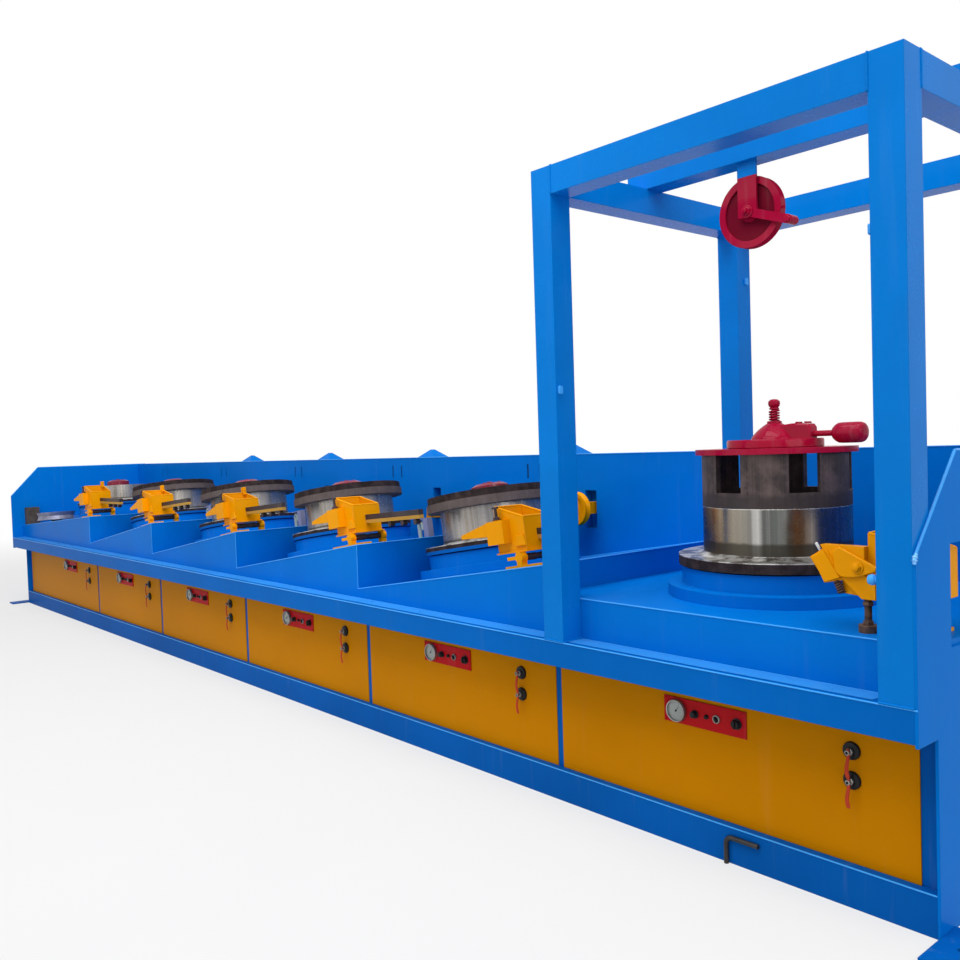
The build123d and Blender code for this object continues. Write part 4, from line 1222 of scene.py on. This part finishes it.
@dataclass
class SheetEdges:
    """Folded and welded edges of the body, as rods in a paler azure that paints their highlights.
    """

    radius: float = 0.0028
    seam: float = 0.002
    end_radius: float = 0.0052
    ledge_front: float = -0.726
    ledge_rear: float = -0.644
    ledge_spans: tuple = ((-4.9025, 3.3825), (3.4985, 4.8225))
    ledge_thickness: float = 0.0018
    slope_foot: float = 1.190
    slope: float = 0.290
    bead: float = 0.0085

    def edge(self, points: Sequence[Sequence[float]], radius: float | None = None) -> Shape:
        """Return thin rods along a line of corners."""
        size = radius or self.radius
        return Shape.joined([rod(a, b, size, 8) for a, b in zip(points[:-1], points[1:])])

    def run(self, x0: float, x1: float, y: float, z: float, radius: float | None = None) -> Shape:
        """Return an edge along the machine."""
        return self.edge([(x0, y, z), (x1, y, z)], radius)

    def rails(self) -> None:
        """Add the upper edges of the top rail and base as painted highlights, and ledge strips as
        painted reflection.
        """
        lay = LAYOUT
        # Pale rods along the rail and base top edges: painted highlights.
        rails = [self.run(lay.left, lay.right, lay.front, lay.rail_top - 0.002),
                 self.run(lay.inner_left, lay.inner_right, lay.base_front, lay.base_top - 0.001)]
        add_piece("rail_edges", Shape.joined(rails), Finish.WELD)
        # Paler strips on the ledge's top: a painted reflection of the sky.
        strips = []
        for x0, x1 in self.ledge_spans:
            outline = [(x0, self.ledge_front), (x1 - 0.030, self.ledge_front),
                       (x1 - 0.012, self.ledge_rear), (x0, self.ledge_rear)]
            strips.append(slab(np.array(outline), self.ledge_thickness, 0.0005))
        strips = Shape.joined(strips).shifted(z=lay.rail_top + 0.0002)
        add_piece("ledge_strips", strips, Finish.LEDGE_REFLECTION)

    def decks(self) -> None:
        """Add the seams of the decks with the rail, the wall and the steps: paler rods as painted
        highlights.
        """
        lay = LAYOUT
        start, end = lay.joint(1), lay.inner_right
        seams = [
            self.run(lay.inner_left, end, lay.deck_front, lay.rail_top, self.seam),
            self.run(start, end, lay.wall_front, lay.level),
            self.run(start, end, lay.deck_front, lay.level),
        ]
        for bay in lay.bays:
            x, z = lay.foot(bay)
            top = lay.joint(bay - 1)
            crest = (top, lay.deck_front, lay.high)
            for y in (lay.deck_front, lay.wall_front):
                seams.append(self.edge([(x, y, z), (top, y, lay.high)]))
            seams.append(self.edge([(top, lay.deck_front, lay.low), crest], self.seam))
            seams.append(self.edge([crest, (top, lay.wall_front, lay.high)]))
        add_piece("deck_seams", Shape.joined(seams), Finish.WELD)

    def ends(self) -> None:
        """Add the edges of the end plates and of the wall's top, paler as painted highlights."""
        lay = LAYOUT
        edges = []
        for x in (lay.left + lay.plate / 2, lay.right - lay.plate / 2):
            corners = [(lay.front, self.slope_foot), (lay.front + self.slope, lay.wall_top),
                       (lay.rear, lay.wall_top), (lay.rear, 0.01)]
            edges.append(self.edge([(x, y, z) for y, z in corners], self.end_radius))
        edges.append(self.run(lay.inner_left, lay.inner_right, lay.wall_front, lay.wall_top))
        add_piece("end_and_wall_edges", Shape.joined(edges), Finish.WELD)

    def corner(self) -> None:
        """Add the weld on the right end plate's corner, bright blue as a painted highlight.

        Along its length s it rises by 0.034 s and bends back by 0.014 s squared, and it swells by
        sin(pi s) to the power 0.6, with ripples.
        """
        x, y, z = LAYOUT.right - LAYOUT.plate / 2, LAYOUT.front, self.slope_foot
        s = np.linspace(0, 1, 28)
        path = np.stack([np.full_like(s, x + 0.002), y + 0.014 * s * s - 0.003,
                         z - 0.020 + 0.034 * s], axis=-1)
        swell = 0.35 + np.sin(pi * s) ** 0.6 * (0.55 + 0.2 * np.sin(22 * s))
        weld = carried(path, circle(self.bead, 10), swell, (1, 0, 0))
        add_piece("corner_weld", weld, Finish.WELD_HIGHLIGHT)

    def build(self) -> None:
        """Add the edges."""
        self.rails()
        self.decks()
        self.ends()
        self.corner()


@dataclass
class StandHoses:
    """Pale bent hoses over the pipes beside the stands."""

    inset: float = 0.035
    setback: float = 0.650
    near: float = -0.048
    span: float = 0.038
    height: float = 0.076
    drop: float = 0.024
    sunk: float = 0.002
    radius: float = 0.0125

    def build(self) -> None:
        """Add the hoses: up one side, half a turn over, and down again."""
        half = self.span / 2
        a = np.linspace(pi, 0, 15)
        middle = self.near - half
        bend = np.stack([middle + half * np.cos(a), self.height + half * np.sin(a)], axis=-1)
        foot = (self.near - self.span, 0.001)
        line = np.vstack([[foot], bend, [(self.near, self.height - self.drop - self.sunk)]])
        path = np.stack([line[:, 0], np.zeros(len(line)), line[:, 1]], axis=-1)
        hose = carried(path, circle(self.radius, 14), side=(0, 1, 0))
        places = []
        for bay in LAYOUT.bays[1:]:
            along = LAYOUT.joint(bay - 1) - self.inset - LAYOUT.bay_left(bay)
            places.append(LAYOUT.deck(bay, along, self.setback))
        add_piece("stand_hoses", hose.repeated(places), Finish.HOSE)


@dataclass
class WallSlots:
    """Dark backs of the narrow slots in the wall: painted shade inside the slots."""

    offset: float = 0.032
    gap: float = 0.112
    width: float = 0.0136
    bottom: float = 1.350
    height: float = 0.090
    depth: float = 0.004
    thickness: float = 0.006
    clearance: float = 0.0004

    def build(self) -> None:
        """Add a dark back just behind each slot's mouth, as painted shade."""
        outline = rounded(self.width, self.height - self.clearance, 0.002)
        y, z = LAYOUT.wall_front + self.depth + self.thickness, self.bottom + self.height / 2
        places = [LAYOUT.face(LAYOUT.bay_left(bay) + self.offset + side, y, z)
                  for bay in LAYOUT.bays for side in (0.0, self.gap)]
        backs = slab(outline, self.thickness, 0.001).repeated(places)
        add_piece("wall_slot_backs", backs, Finish.SHADE)


@dataclass
class GantryFittings:
    """Welds at the gantry's joints, and the knob and the lugs on its columns."""

    column: float = 0.110
    inset: float = 0.090
    top: float = 2.690
    beam: float = 0.115
    bead: float = 0.0045
    ripples: int = 8
    knob_height: float = 1.112
    lug_heights: tuple[float, float, float] = (2.171, 2.345, 1.78)

    def weld(self, centre: Sequence[float], half: tuple[float, float],
             normal: Sequence[float]) -> Shape:
        """Run a bead round a square tube: along each side its size is 0.85 + 0.25 |sin(8 pi s)|.

        Args:
            centre: middle of the joint.
            half: half the tube's two sizes.
            normal: direction of the tube.

        Returns:
            The bead's four sides.
        """
        (a, b), s = half, np.linspace(0, 1, 25)
        corners = [(a, b), (-a, b), (-a, -b), (a, -b)]
        size = 0.85 + 0.25 * np.abs(np.sin(s * pi * self.ripples))
        sides = []
        for (x0, y0), (x1, y1) in zip(corners, corners[1:] + corners[:1]):
            path = np.stack([x0 + (x1 - x0) * s, y0 + (y1 - y0) * s, np.zeros_like(s)], axis=-1)
            sides.append(carried(path, circle(self.bead, 6), size))
        across = (0, 0, 1) if abs(normal[2]) < 0.5 else (1, 0, 0)
        return Shape.joined(sides).moved(placed(centre, normal, across))

    def build(self) -> None:
        """Add the gantry's fittings."""
        lay, half = LAYOUT, self.column / 2
        xs = (lay.joint(1) + self.inset + half, lay.inner_right - half)
        ys = (lay.front + half, lay.wall_front - half)
        feet = (lay.rail_top, lay.level)
        welds = [self.weld((x, y, foot + 0.002), (half, half), (0, 0, 1))
                 for x in xs for y, foot in zip(ys, feet)]
        beam_z, beam_half = self.top - self.beam / 2, (self.beam / 2, half)
        for y in ys:
            for x, side in ((xs[0] + half, 1), (xs[1] - half, -1)):
                welds.append(self.weld((x + 0.001 * side, y, beam_z), beam_half, (side, 0, 0)))
        for x in xs:
            for y, side in ((ys[0] + half, 1), (ys[1] - half, -1)):
                welds.append(self.weld((x, y + 0.001 * side, beam_z), beam_half, (0, side, 0)))
        add_piece("gantry_welds", Shape.joined(welds), Finish.GANTRY)
        self.lugs(xs[0] + half, lay.inner_right - self.column)

    def lugs(self, left: float, right: float) -> None:
        """Add the knob and the lugs.

        Args:
            left: x of the left columns' inner faces.
            right: x of the right columns' inner faces.
        """
        lay = LAYOUT
        knob = turned([(0.011, 0), (0.011, 0.008), (0.015, 0.012), (0.0175, 0.022), (0.014, 0.032),
                       (0.007, 0.035)], 24)
        place = placed((right, lay.front + 0.020, self.knob_height), (-1, 0, 0), (0, 1, 0))
        # The knob and the lugs take the pale azure that paints the edges' highlights.
        add_piece("column_knob", knob.moved(place), Finish.WELD)
        spots = ((right, lay.front + 0.018, -1), (left, lay.wall_front - 0.04, 1),
                 (left, lay.front + 0.02, 1))
        places = [placed((x, y, z), (side, 0, 0), (0, 1, 0))
                  for (x, y, side), z in zip(spots, self.lug_heights)]
        lug = slab(rounded(0.022, 0.034, 0.006), 0.012, 0.002)
        add_piece("column_lugs", lug.repeated(places), Finish.WELD)


@dataclass
class PulleyFittings:
    """Bolt, washer and nuts of the overhead pulley and keeper, and painted shade on the pulley's
    web.
    """

    front: float = 0.033
    rear: float = 0.0185
    web: float = 0.0073
    web_thickness: float = 0.0014
    hub_radius: float = 0.0405
    rim_radius: float = 0.1155
    reach: float = 0.195
    drop: float = radians(-20.0)

    def build(self) -> None:
        """Add the pulley's fittings."""
        centre = joint_place("pulley_spin")[:3, 3]
        face, rear = centre + (0, -self.front, 0), centre + (0, self.rear, 0)
        keeper = face + (self.reach * cos(self.drop), 0.0, self.reach * sin(self.drop))
        bolts = Shape.joined([
            hex_bolt(0.019, 0.014).moved(placed(face, (0, -1, 0), (0.9, 0, 0.4))),
            rod(face - (0, 0.012, 0), face - (0, 0.026, 0), 0.009, 14),
            hex_bolt(0.013, 0.010).moved(placed(keeper, (0, -1, 0), (1, 0, 0.2))),
            hex_bolt(0.017, 0.012).moved(placed(rear, (0, 1, 0), (1, 0, 0.3))),
        ])
        add_piece("pulley_bolts", bolts, Finish.RED)
        # A thin dark crimson ring on each face of the web: painted shade in the recess.
        inner, outer, thickness = self.hub_radius, self.rim_radius, self.web_thickness
        section = [(inner, 0), (outer, 0), (outer, thickness), (inner, thickness)]
        web = turned(section, 64, ring=True)
        sides = [placed(centre + (0, side * self.web, 0), (0, side, 0)) for side in (-1, 1)]
        add_piece("pulley_web", web.repeated(sides), Finish.DARK_RED, "overhead_pulley")


@dataclass
class BlockCaps:
    """Bolts on the red caps of the inclined blocks."""

    stool: float = 0.120
    cap_top: float = 0.486
    entry_cap_top: float = 0.382
    circle_radius: float = 0.062
    bolts: int = 4
    first_angle: float = 0.4

    def build(self) -> None:
        """Add the bolts, riding on their blocks."""
        angles = [2 * pi / self.bolts * k + self.first_angle for k in range(self.bolts)]
        around = [(self.circle_radius * cos(a), self.circle_radius * sin(a)) for a in angles]
        for bay in LAYOUT.bays:
            top = self.entry_cap_top if bay == LAYOUT.entry_bay else self.cap_top
            place = shifted(joint_place(f"block_{bay}_spin"), z=top - self.stool)
            small = hex_bolt(0.007, 0.006).repeated([shifted(place, x, y) for x, y in around])
            bolts = Shape.joined([hex_bolt(0.016, 0.012).moved(place), small])
            add_piece(f"block_{bay}_cap_bolts", bolts, Finish.CAP_RED, f"block_{bay}")


@dataclass
class FlyerCasting:
    """The flyer of the last block, cast and painted: disc, hub, housing, spring stem and roller."""

    disc_radius: float = 0.195
    disc: float = 0.036
    hub_radius: float = 0.096
    hub_top: float = 0.027
    hub_height: float = 0.067
    housing_half: float = 0.030
    housing: tuple = ((0.02, 0.030), (0.178, 0.030), (0.178, 0.080), (0.168, 0.094), (0.095, 0.098),
                      (0.02, 0.090))
    stem: tuple = ((0.012, 0.09), (0.012, 0.158), (0.020, 0.160), (0.020, 0.166), (0.016, 0.168),
                   (0.022, 0.174), (0.0245, 0.184), (0.023, 0.194), (0.015, 0.201), (0.004, 0.203))
    collar: tuple = ((0.021, 0.100), (0.030, 0.102), (0.030, 0.110), (0.022, 0.112))
    roller_z: float = 0.053
    roller_start: float = 0.264
    roller_length: float = 0.130
    roller_radius: float = 0.041

    def hub(self) -> Shape:
        """Return the disc and its bell: at height share t the radius keeps (1 - t^1.4)^0.9."""
        t = np.linspace(0, 1, 14)
        radius = self.hub_top + (self.hub_radius - self.hub_top) * (1 - t**1.4) ** 0.9
        height = self.disc + self.hub_height * t
        flare = list(zip(radius.tolist(), height.tolist()))
        r, top = self.disc_radius, self.disc
        edge = [(0.001, 0.0003), (r - 0.003, 0.0003), (r, 0.003), (r, top - 0.006),
                (r - 0.003, top - 0.001), (r - 0.010, top), (self.hub_radius + 0.012, top)]
        cap = [(self.hub_top - 0.002, height[-1] + 0.003), (0.001, height[-1] + 0.003)]
        return turned(edge + flare + cap, 72)

    def casting(self) -> Shape:
        """Return the hub with its housing, stem, collar, arm and bolts."""
        half = self.housing_half
        housing = slab(np.array(self.housing), 2 * half, 0.006)
        arm_end = (self.roller_start + 0.02, 0, self.roller_z)
        arm = rod((0.165, 0, self.roller_z), arm_end, 0.012, 18)
        bolts = [hex_bolt(0.008, 0.008).moved(placed((x, y, 0.096), (0.04, 0, 1), (1, 0, 0)))
                 for x in (0.112, 0.152) for y in (-0.014, 0.014)]
        return Shape.joined([
            self.hub(), housing.moved(placed((0, half, 0), (0, -1, 0), (1, 0, 0))),
            turned(self.stem, 28), turned(self.collar, 28), arm, *bolts,
        ])

    def roller(self) -> Shape:
        """Return the roller, standing on its own z axis."""
        r, size = self.roller_radius, self.roller_length
        return turned([(0.016, 0), (0.026, 0.003), (r - 0.006, 0.014), (r - 0.001, 0.024),
                       (r, 0.040), (r, size - 0.030), (r - 0.001, size - 0.016),
                       (r - 0.005, size - 0.006), (0.030, size - 0.001), (0.012, size)], 36)

    def build(self) -> None:
        """Add the flyer, which stands for its CAD node."""
        place = joint_place("flyer_spin")
        casting = self.casting().moved(place)
        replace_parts(add_piece("flyer_casting", casting, Finish.RED, "flyer"), "flyer")
        spring = helix(0.0195, 0.0105, 4.4, 0.0036).moved(shifted(place, z=0.112))
        add_piece("flyer_spring", spring, Finish.RED, "flyer")
        start = shifted(place, x=self.roller_start, z=self.roller_z)
        roller = self.roller().moved(placed(start[:3, 3], place[:3, 0], place[:3, 1]))
        add_piece("flyer_roller", roller, Finish.RED, "flyer")


def rim_rods(low: float, high: float, half_x: float, half_y: float, radius: float) -> Shape:
    """Run rods round a hopper's sloping rim.

    Args:
        low: height of the right side.
        high: height of the left side.
        half_x: half the rim's length.
        half_y: half the rim's depth.
        radius: the rods' radius.

    Returns:
        Four rods.
    """
    corners = [(-half_x, -half_y, high), (half_x, -half_y, low), (half_x, half_y, low),
               (-half_x, half_y, high)]
    return Shape.joined([rod(a, b, radius, 8) for a, b in zip(corners, corners[1:] + corners[:1])])


@dataclass
class DieBoxes:
    """Lips, screws, pins and posts of the die boxes on the inclined decks."""

    near_place: float = 1.240
    place: float = 1.325
    setback: float = 0.260
    half_length: float = 0.095
    half_depth: float = 0.090
    floor: float = 0.080
    left_top: float = 0.297
    right_top: float = 0.232
    lip: float = 0.0055
    corner_rod: float = 0.003
    screw_x: float = -0.060
    screw_y: float = -0.113
    holder_top: float = 0.230
    pin_x: float = 0.065
    pin_y: float = -0.087
    pin_z: float = 0.047

    def lips(self) -> Shape:
        """Return the hopper's rim, its front corners and the clasp on its front."""
        x, y = self.half_length, self.half_depth
        rim = rim_rods(self.right_top, self.left_top, x - 0.004, y - 0.004, self.lip)
        corners = [rod((side * x, -y, self.floor), (side * x, -y, top), self.corner_rod, 8)
                   for side, top in ((-1, self.left_top), (1, self.right_top))]
        clasp = slab(np.array([(-0.035, 0.0), (0.035, 0.0), (0.022, 0.05), (-0.022, 0.05)]), 0.010,
                     0.002)
        place = placed((x - 0.03, -y - 0.001, self.floor + 0.02), (0, -1, 0), (1, 0, 0))
        return Shape.joined([rim, *corners, clasp.moved(place)])

    def screws(self) -> Shape:
        """Return the holder's tommy screw, the hopper's bolt and the sleeve on its pin."""
        screw = Shape.joined([
            hex_bolt(0.015, 0.014), rod((0, 0, 0.01), (0, 0, 0.062), 0.0075, 12),
            rod((-0.022, 0, 0.058), (0.022, 0, 0.058), 0.005, 10),
        ]).shifted(self.screw_x, self.screw_y, self.holder_top + 0.004)
        bolt = hex_bolt(0.009, 0.008)
        sleeve = turned([(0.0155, 0), (0.0165, 0.004), (0.0165, 0.07), (0.0145, 0.072),
                         (0.0145, 0.102), (0.0165, 0.104), (0.0165, 0.170), (0.0155, 0.174)], 24)
        return Shape.joined([
            screw, bolt.moved(placed((0.052, -self.half_depth, 0.135), (0, -1, 0), (1, 0, 0))),
            sleeve.moved(placed((self.pin_x, self.pin_y, self.pin_z), (0, 1, 0), (1, 0, 0))),
        ])

    def posts(self) -> Shape:
        """Return the two prongs on a hopper's left rear corner, with their cross pin."""
        corner = (-self.half_length + 0.012, self.half_depth - 0.014, self.left_top - 0.016)
        prong = slab(rounded(0.013, 0.026, 0.005), 0.056, 0.002)
        prongs = [prong.shifted(*np.add(corner, (x, 0, 0))) for x in (-0.012, 0.012)]
        pin = rod(np.add(corner, (-0.022, 0, 0.034)), np.add(corner, (0.022, 0, 0.034)), 0.005, 10)
        return Shape.joined([*prongs, pin])

    def build(self) -> None:
        """Add the fittings of all the die boxes; only the far ones have posts."""
        places = [LAYOUT.deck(bay, self.near_place if bay == 2 else self.place, self.setback)
                  for bay in LAYOUT.bays]
        add_piece("hopper_lips", self.lips().repeated(places), Finish.YELLOW)
        add_piece("die_screws", self.screws().repeated(places), Finish.DARK)
        add_piece("hopper_posts", self.posts().repeated(places[2:]), Finish.YELLOW)


@dataclass
class LastDie:
    """The last die holder's rim, clamp plates, pin, bolt and threaded stand, by the gantry.

    The plates' outlines are in the clamp's front face: x from its left side, and height.
    """

    inset: float = 0.150
    setback: float = 0.310
    half: float = 0.096
    low: float = 1.180
    high: float = 1.233
    lip: float = 0.0055
    reach: float = 0.100
    clamp_setback: float = 0.185
    rod_setback: float = 0.020
    bracket: tuple = ((0.044, 1.0185), (0.046, 1.100), (-0.090, 1.086), (-0.084, 1.029))
    tongue: tuple = ((-0.134, 1.064), (-0.080, 1.084), (-0.137, 1.174), (-0.178, 1.148))
    clamp: tuple = ((-0.098, 1.102), (-0.080, 1.089), (-0.060, 1.086), (-0.030, 1.088),
                    (-0.007, 1.094), (0.042, 1.112), (0.047, 1.126), (0.010, 1.144),
                    (-0.024, 1.160), (-0.083, 1.187), (-0.106, 1.168))
    base_top: float = 0.025
    upper_nut: float = 0.996

    def plates(self) -> Shape:
        """Return bracket, tongue and clamp, with a rippled seam between the last two."""
        s = np.linspace(0, 1, 40)
        seam = np.stack([-0.134 + 0.055 * s, 1.172 - 0.086 * s, np.full_like(s, 0.004)], axis=-1)
        return Shape.joined([
            slab(np.array(self.bracket), 0.012, 0.002).shifted(z=-0.028),
            slab(np.array(self.tongue), 0.018, 0.002), slab(np.array(self.clamp), 0.014, 0.003),
            carried(seam, circle(0.006, 8), 0.8 + 0.25 * np.abs(np.sin(s * pi * 11))),
        ])

    def stand(self, x: float, y: float) -> Shape:
        """Build the stand: thread over its sleeve, cup, coil and two nuts.

        Args:
            x: the stand's axis along the machine.
            y: the stand's axis across it.

        Returns:
            The stand, from the deck up.
        """
        deck = LAYOUT.level
        foot = deck + self.base_top
        cup = turned([(0.0300, 0.0004), (0.0308, 0.001), (0.0308, 0.0235), (0.029, 0.0250),
                      (0.012, 0.0255)], 30)
        sleeve = turned([(0.0102, 0), (0.0108, 0.001), (0.0108, 0.084), (0.0102, 0.085)], 20)
        nut = slab(circle(0.018, 6), 0.013, 0.0015)
        coil = helix(0.011, 0.0085, 5, 0.0032)
        return Shape.joined([
            helix(0.0112, 0.0042, 20, 0.0014).shifted(x, y, deck + 0.028),
            sleeve.shifted(x, y, foot), cup.shifted(x, y, deck),
            coil.moved(placed((x - 0.083, y - 0.012, 1.030), (-0.42, 0, 1))),
            nut.shifted(x, y, foot), nut.shifted(x, y, self.upper_nut),
        ])

    def build(self) -> None:
        """Add the last die's fittings."""
        x, y = LAYOUT.right - self.inset, LAYOUT.front + self.setback
        rim = rim_rods(self.low, self.high, self.half, self.half, self.lip).shifted(x, y)
        add_piece("last_hopper_lip", rim, Finish.YELLOW)
        left, clamp_y = x - self.reach, LAYOUT.front + self.clamp_setback
        middle = clamp_y + self.rod_setback
        plates = self.plates().moved(placed((left, clamp_y + 0.002, 0), (0, -1, 0), (1, 0, 0)))
        add_piece("last_die_plates", plates, Finish.YELLOW)
        pin = rod((left - 0.160, middle, 1.160), (left - 0.181, middle, 1.193), 0.0055, 12)
        add_piece("last_die_pin", pin, Finish.STEEL)
        bolt = Shape.joined([
            hex_bolt(0.015, 0.009), turned([(0.010, 0.008), (0.010, 0.013), (0.007, 0.015)], 18),
        ]).moved(placed((left - 0.018, clamp_y - 0.012, 1.122), (0, -1, 0), (1, 0, 0.3)))
        add_piece("last_die_bolt", bolt, Finish.YELLOW)
        add_piece("last_die_stand", self.stand(left, middle), Finish.RUST)


@dataclass
class RearFittings:
    """Louvres and bolts of the motor covers, and handles on the rear panels."""

    cover_width: float = 0.450
    cover_depth: float = 0.380
    side_offset: float = 0.180
    slats: int = 9
    slat_pitch: float = 0.036
    slat_feet: tuple[float, float] = (1.02, 0.30)
    slat_half: float = 0.15
    bolt_heights: tuple[float, float, float] = (0.08, 0.75, 1.36)
    bolt_inset: float = 0.03
    handle_inset: float = 0.18
    handle_height: float = 0.50

    def slat(self) -> Shape:
        """Return one louvre: a hood whose section is a quarter ellipse, closed at its ends."""
        x = np.linspace(-self.slat_half, self.slat_half, 15)
        path = np.stack([x, np.zeros_like(x), np.zeros_like(x)], axis=-1)
        a = np.linspace(0, pi / 2, 6)
        hood = np.vstack([[(0.0, 0.0)], np.stack([0.016 * np.cos(a), 0.020 * np.sin(a)], axis=-1)])
        swell = np.clip(1.02 - np.abs(x / self.slat_half) ** 8, 0.05, 1)
        return carried(path, hood, np.stack([swell, np.ones_like(x)]))

    def pull(self) -> Shape:
        """Return a handle: at angle a its middle is (0.055 cos a, 0, 0.032 (sin a)^0.6)."""
        a = np.linspace(0, pi, 17)
        path = np.stack([0.055 * np.cos(a), np.zeros_like(a), 0.032 * np.sin(a) ** 0.6], axis=-1)
        return carried(path, circle(0.0055, 10), side=(0, 1, 0))

    def build(self) -> None:
        """Add the rear's fittings."""
        back = LAYOUT.rear + self.cover_depth
        covers = [LAYOUT.joint(bay - 1) + self.side_offset for bay in LAYOUT.bays]
        slats = [placed((x, back, z + row * self.slat_pitch), (0, 0, 1), (-1, 0, 0))
                 for x in covers for row in range(self.slats) for z in self.slat_feet]
        add_piece("motor_cover_louvres", self.slat().repeated(slats), Finish.BLUE)
        side = self.cover_width / 2 - self.bolt_inset
        bolts = [placed((x + sx * side, back, z), (0, 1, 0), (1, 0, 0.3))
                 for x in covers for sx in (-1, 1) for z in self.bolt_heights]
        bolts = hex_bolt(0.010, 0.008).repeated(bolts)
        add_piece("motor_cover_bolts", bolts, Finish.STEEL)
        handles = [
            placed((x, LAYOUT.rear, self.handle_height), (0, 1, 0))
            for left, right in map(LAYOUT.panel, LAYOUT.all_bays)
            for x in (left + self.handle_inset, right - self.handle_inset)
        ]
        add_piece("rear_panel_handles", self.pull().repeated(handles), Finish.BLACK)


@dataclass
class Studio:
    """Floor, lamps, world and the camera at the photograph's place."""

    focal_px: float = 929.046
    image_px: float = 960.0
    sensor: float = 36.0
    yaw: float = radians(49.4217)
    pitch: float = radians(1.9289)
    roll: float = radians(-1.8317)
    eye: tuple[float, float, float] = (6.1739, -3.4707, 1.55)
    floor_half: float = 60.0
    floor_tones: tuple[Colour, Colour] = ((0.57, 0.57, 0.57), (0.61, 0.61, 0.61))
    floor_near: float = 6.5
    floor_far: float = 16.0
    near_glow: float = 0.65
    room: Colour = (0.93, 0.96, 1.0)
    room_strength: float = 0.49
    lamps: tuple = (
        ("sky_panel", (3.0, -3.2, 9.0), (0.8, 0.0, 0.8), 8.0, 860.0),
        ("right_window", (12.0, -1.5, 4.5), (3.0, 0.0, 1.0), 6.0, 260.0),
        ("front_fill", (-1.0, -9.0, 4.0), (0.0, 0.0, 0.8), 7.0, 90.0),
    )

    def camera(self) -> None:
        """Put the camera where the photograph was taken: turned by yaw, pitch and then roll."""
        forward = np.array([-sin(self.yaw) * cos(self.pitch), cos(self.yaw) * cos(self.pitch),
                            -sin(self.pitch)])
        right = unit(np.cross(forward, (0, 0, 1)))
        up = np.cross(right, forward)
        tilted = cos(self.roll) * right + sin(self.roll) * up
        top = -sin(self.roll) * right + cos(self.roll) * up
        data = bpy.data.cameras.new("photo_camera")
        data.sensor_width = self.sensor
        data.lens = self.focal_px / self.image_px * self.sensor
        data.clip_start, data.clip_end = 0.05, 300.0
        camera = bpy.data.objects.new("photo_camera", data)
        matrix = np.eye(4)
        matrix[:3] = np.column_stack([tilted, top, -forward, self.eye])
        camera.matrix_world = Matrix(matrix.tolist())
        bpy.context.scene.collection.objects.link(camera)
        bpy.context.scene.camera = camera

    def floor(self) -> None:
        """Lay the pale floor, which the camera sees as white with the machine's shadow."""
        h = self.floor_half
        mesh = bpy.data.meshes.new("floor")
        mesh.from_pydata([(-h, -h, 0), (h, -h, 0), (h, h, 0), (-h, h, 0)], [], [(0, 1, 2, 3)])
        shader = Shader(bpy.data.materials.new("pale floor"))
        point = shader.point()
        cloud = shader.noise(point, 1.5, 4.0)
        distance = shader.vector("LENGTH", point, None, "Value")
        far = distance.step(self.floor_near, self.floor_far)
        shader.dress({"Base Color": shader.blend(cloud, *self.floor_tones), "Roughness": 0.9,
                      "Specular IOR Level": 0.1})
        glow = shader.seen() * (far * (1 - self.near_glow) + self.near_glow)
        shader.glow_over("Material Output", glow, "ShaderNodeEmission")
        mesh.materials.append(shader.owner)
        floor = bpy.data.objects.new("floor", mesh)
        bpy.context.scene.collection.objects.link(floor)

    def light(self) -> None:
        """Set the soft lamps and the pale world."""
        for name, place, aim, size, power in self.lamps:
            data = bpy.data.lights.new(name, "AREA")
            data.shape, data.size, data.energy = "SQUARE", size, power
            lamp = bpy.data.objects.new(name, data)
            back = unit(np.subtract(place, aim))
            side = (0, 1, 0) if abs(back[0]) > 0.8 else (1, 0, 0)
            lamp.matrix_world = Matrix(placed(place, back, side).tolist())
            bpy.context.scene.collection.objects.link(lamp)
        world = bpy.data.worlds.new("pale_room")
        bpy.context.scene.world = world
        shader = Shader(world, "Background")
        shader.dress({"Color": self.room, "Strength": self.room_strength})
        shader.glow_over("World Output", shader.seen(), "ShaderNodeBackground")
        bpy.context.scene.view_settings.view_transform = "Standard"

    def build(self) -> None:
        """Set up the studio."""
        self.camera()
        self.floor()
        self.light()


def main() -> None:
    """Dress the machine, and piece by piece."""
    logging.basicConfig(level=logging.INFO, format="%(message)s")
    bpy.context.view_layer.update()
    for part in (
        Studio(), FrontControls(), SheetEdges(), StandHoses(), WallSlots(), GantryFittings(),
        PulleyFittings(), BlockCaps(), FlyerCasting(), DieBoxes(), LastDie(), RearFittings(),
    ):
        part.build()
        log.info("built %s", type(part).__name__)
    CadFinishes().apply()


if __name__ == "__main__":
    main()
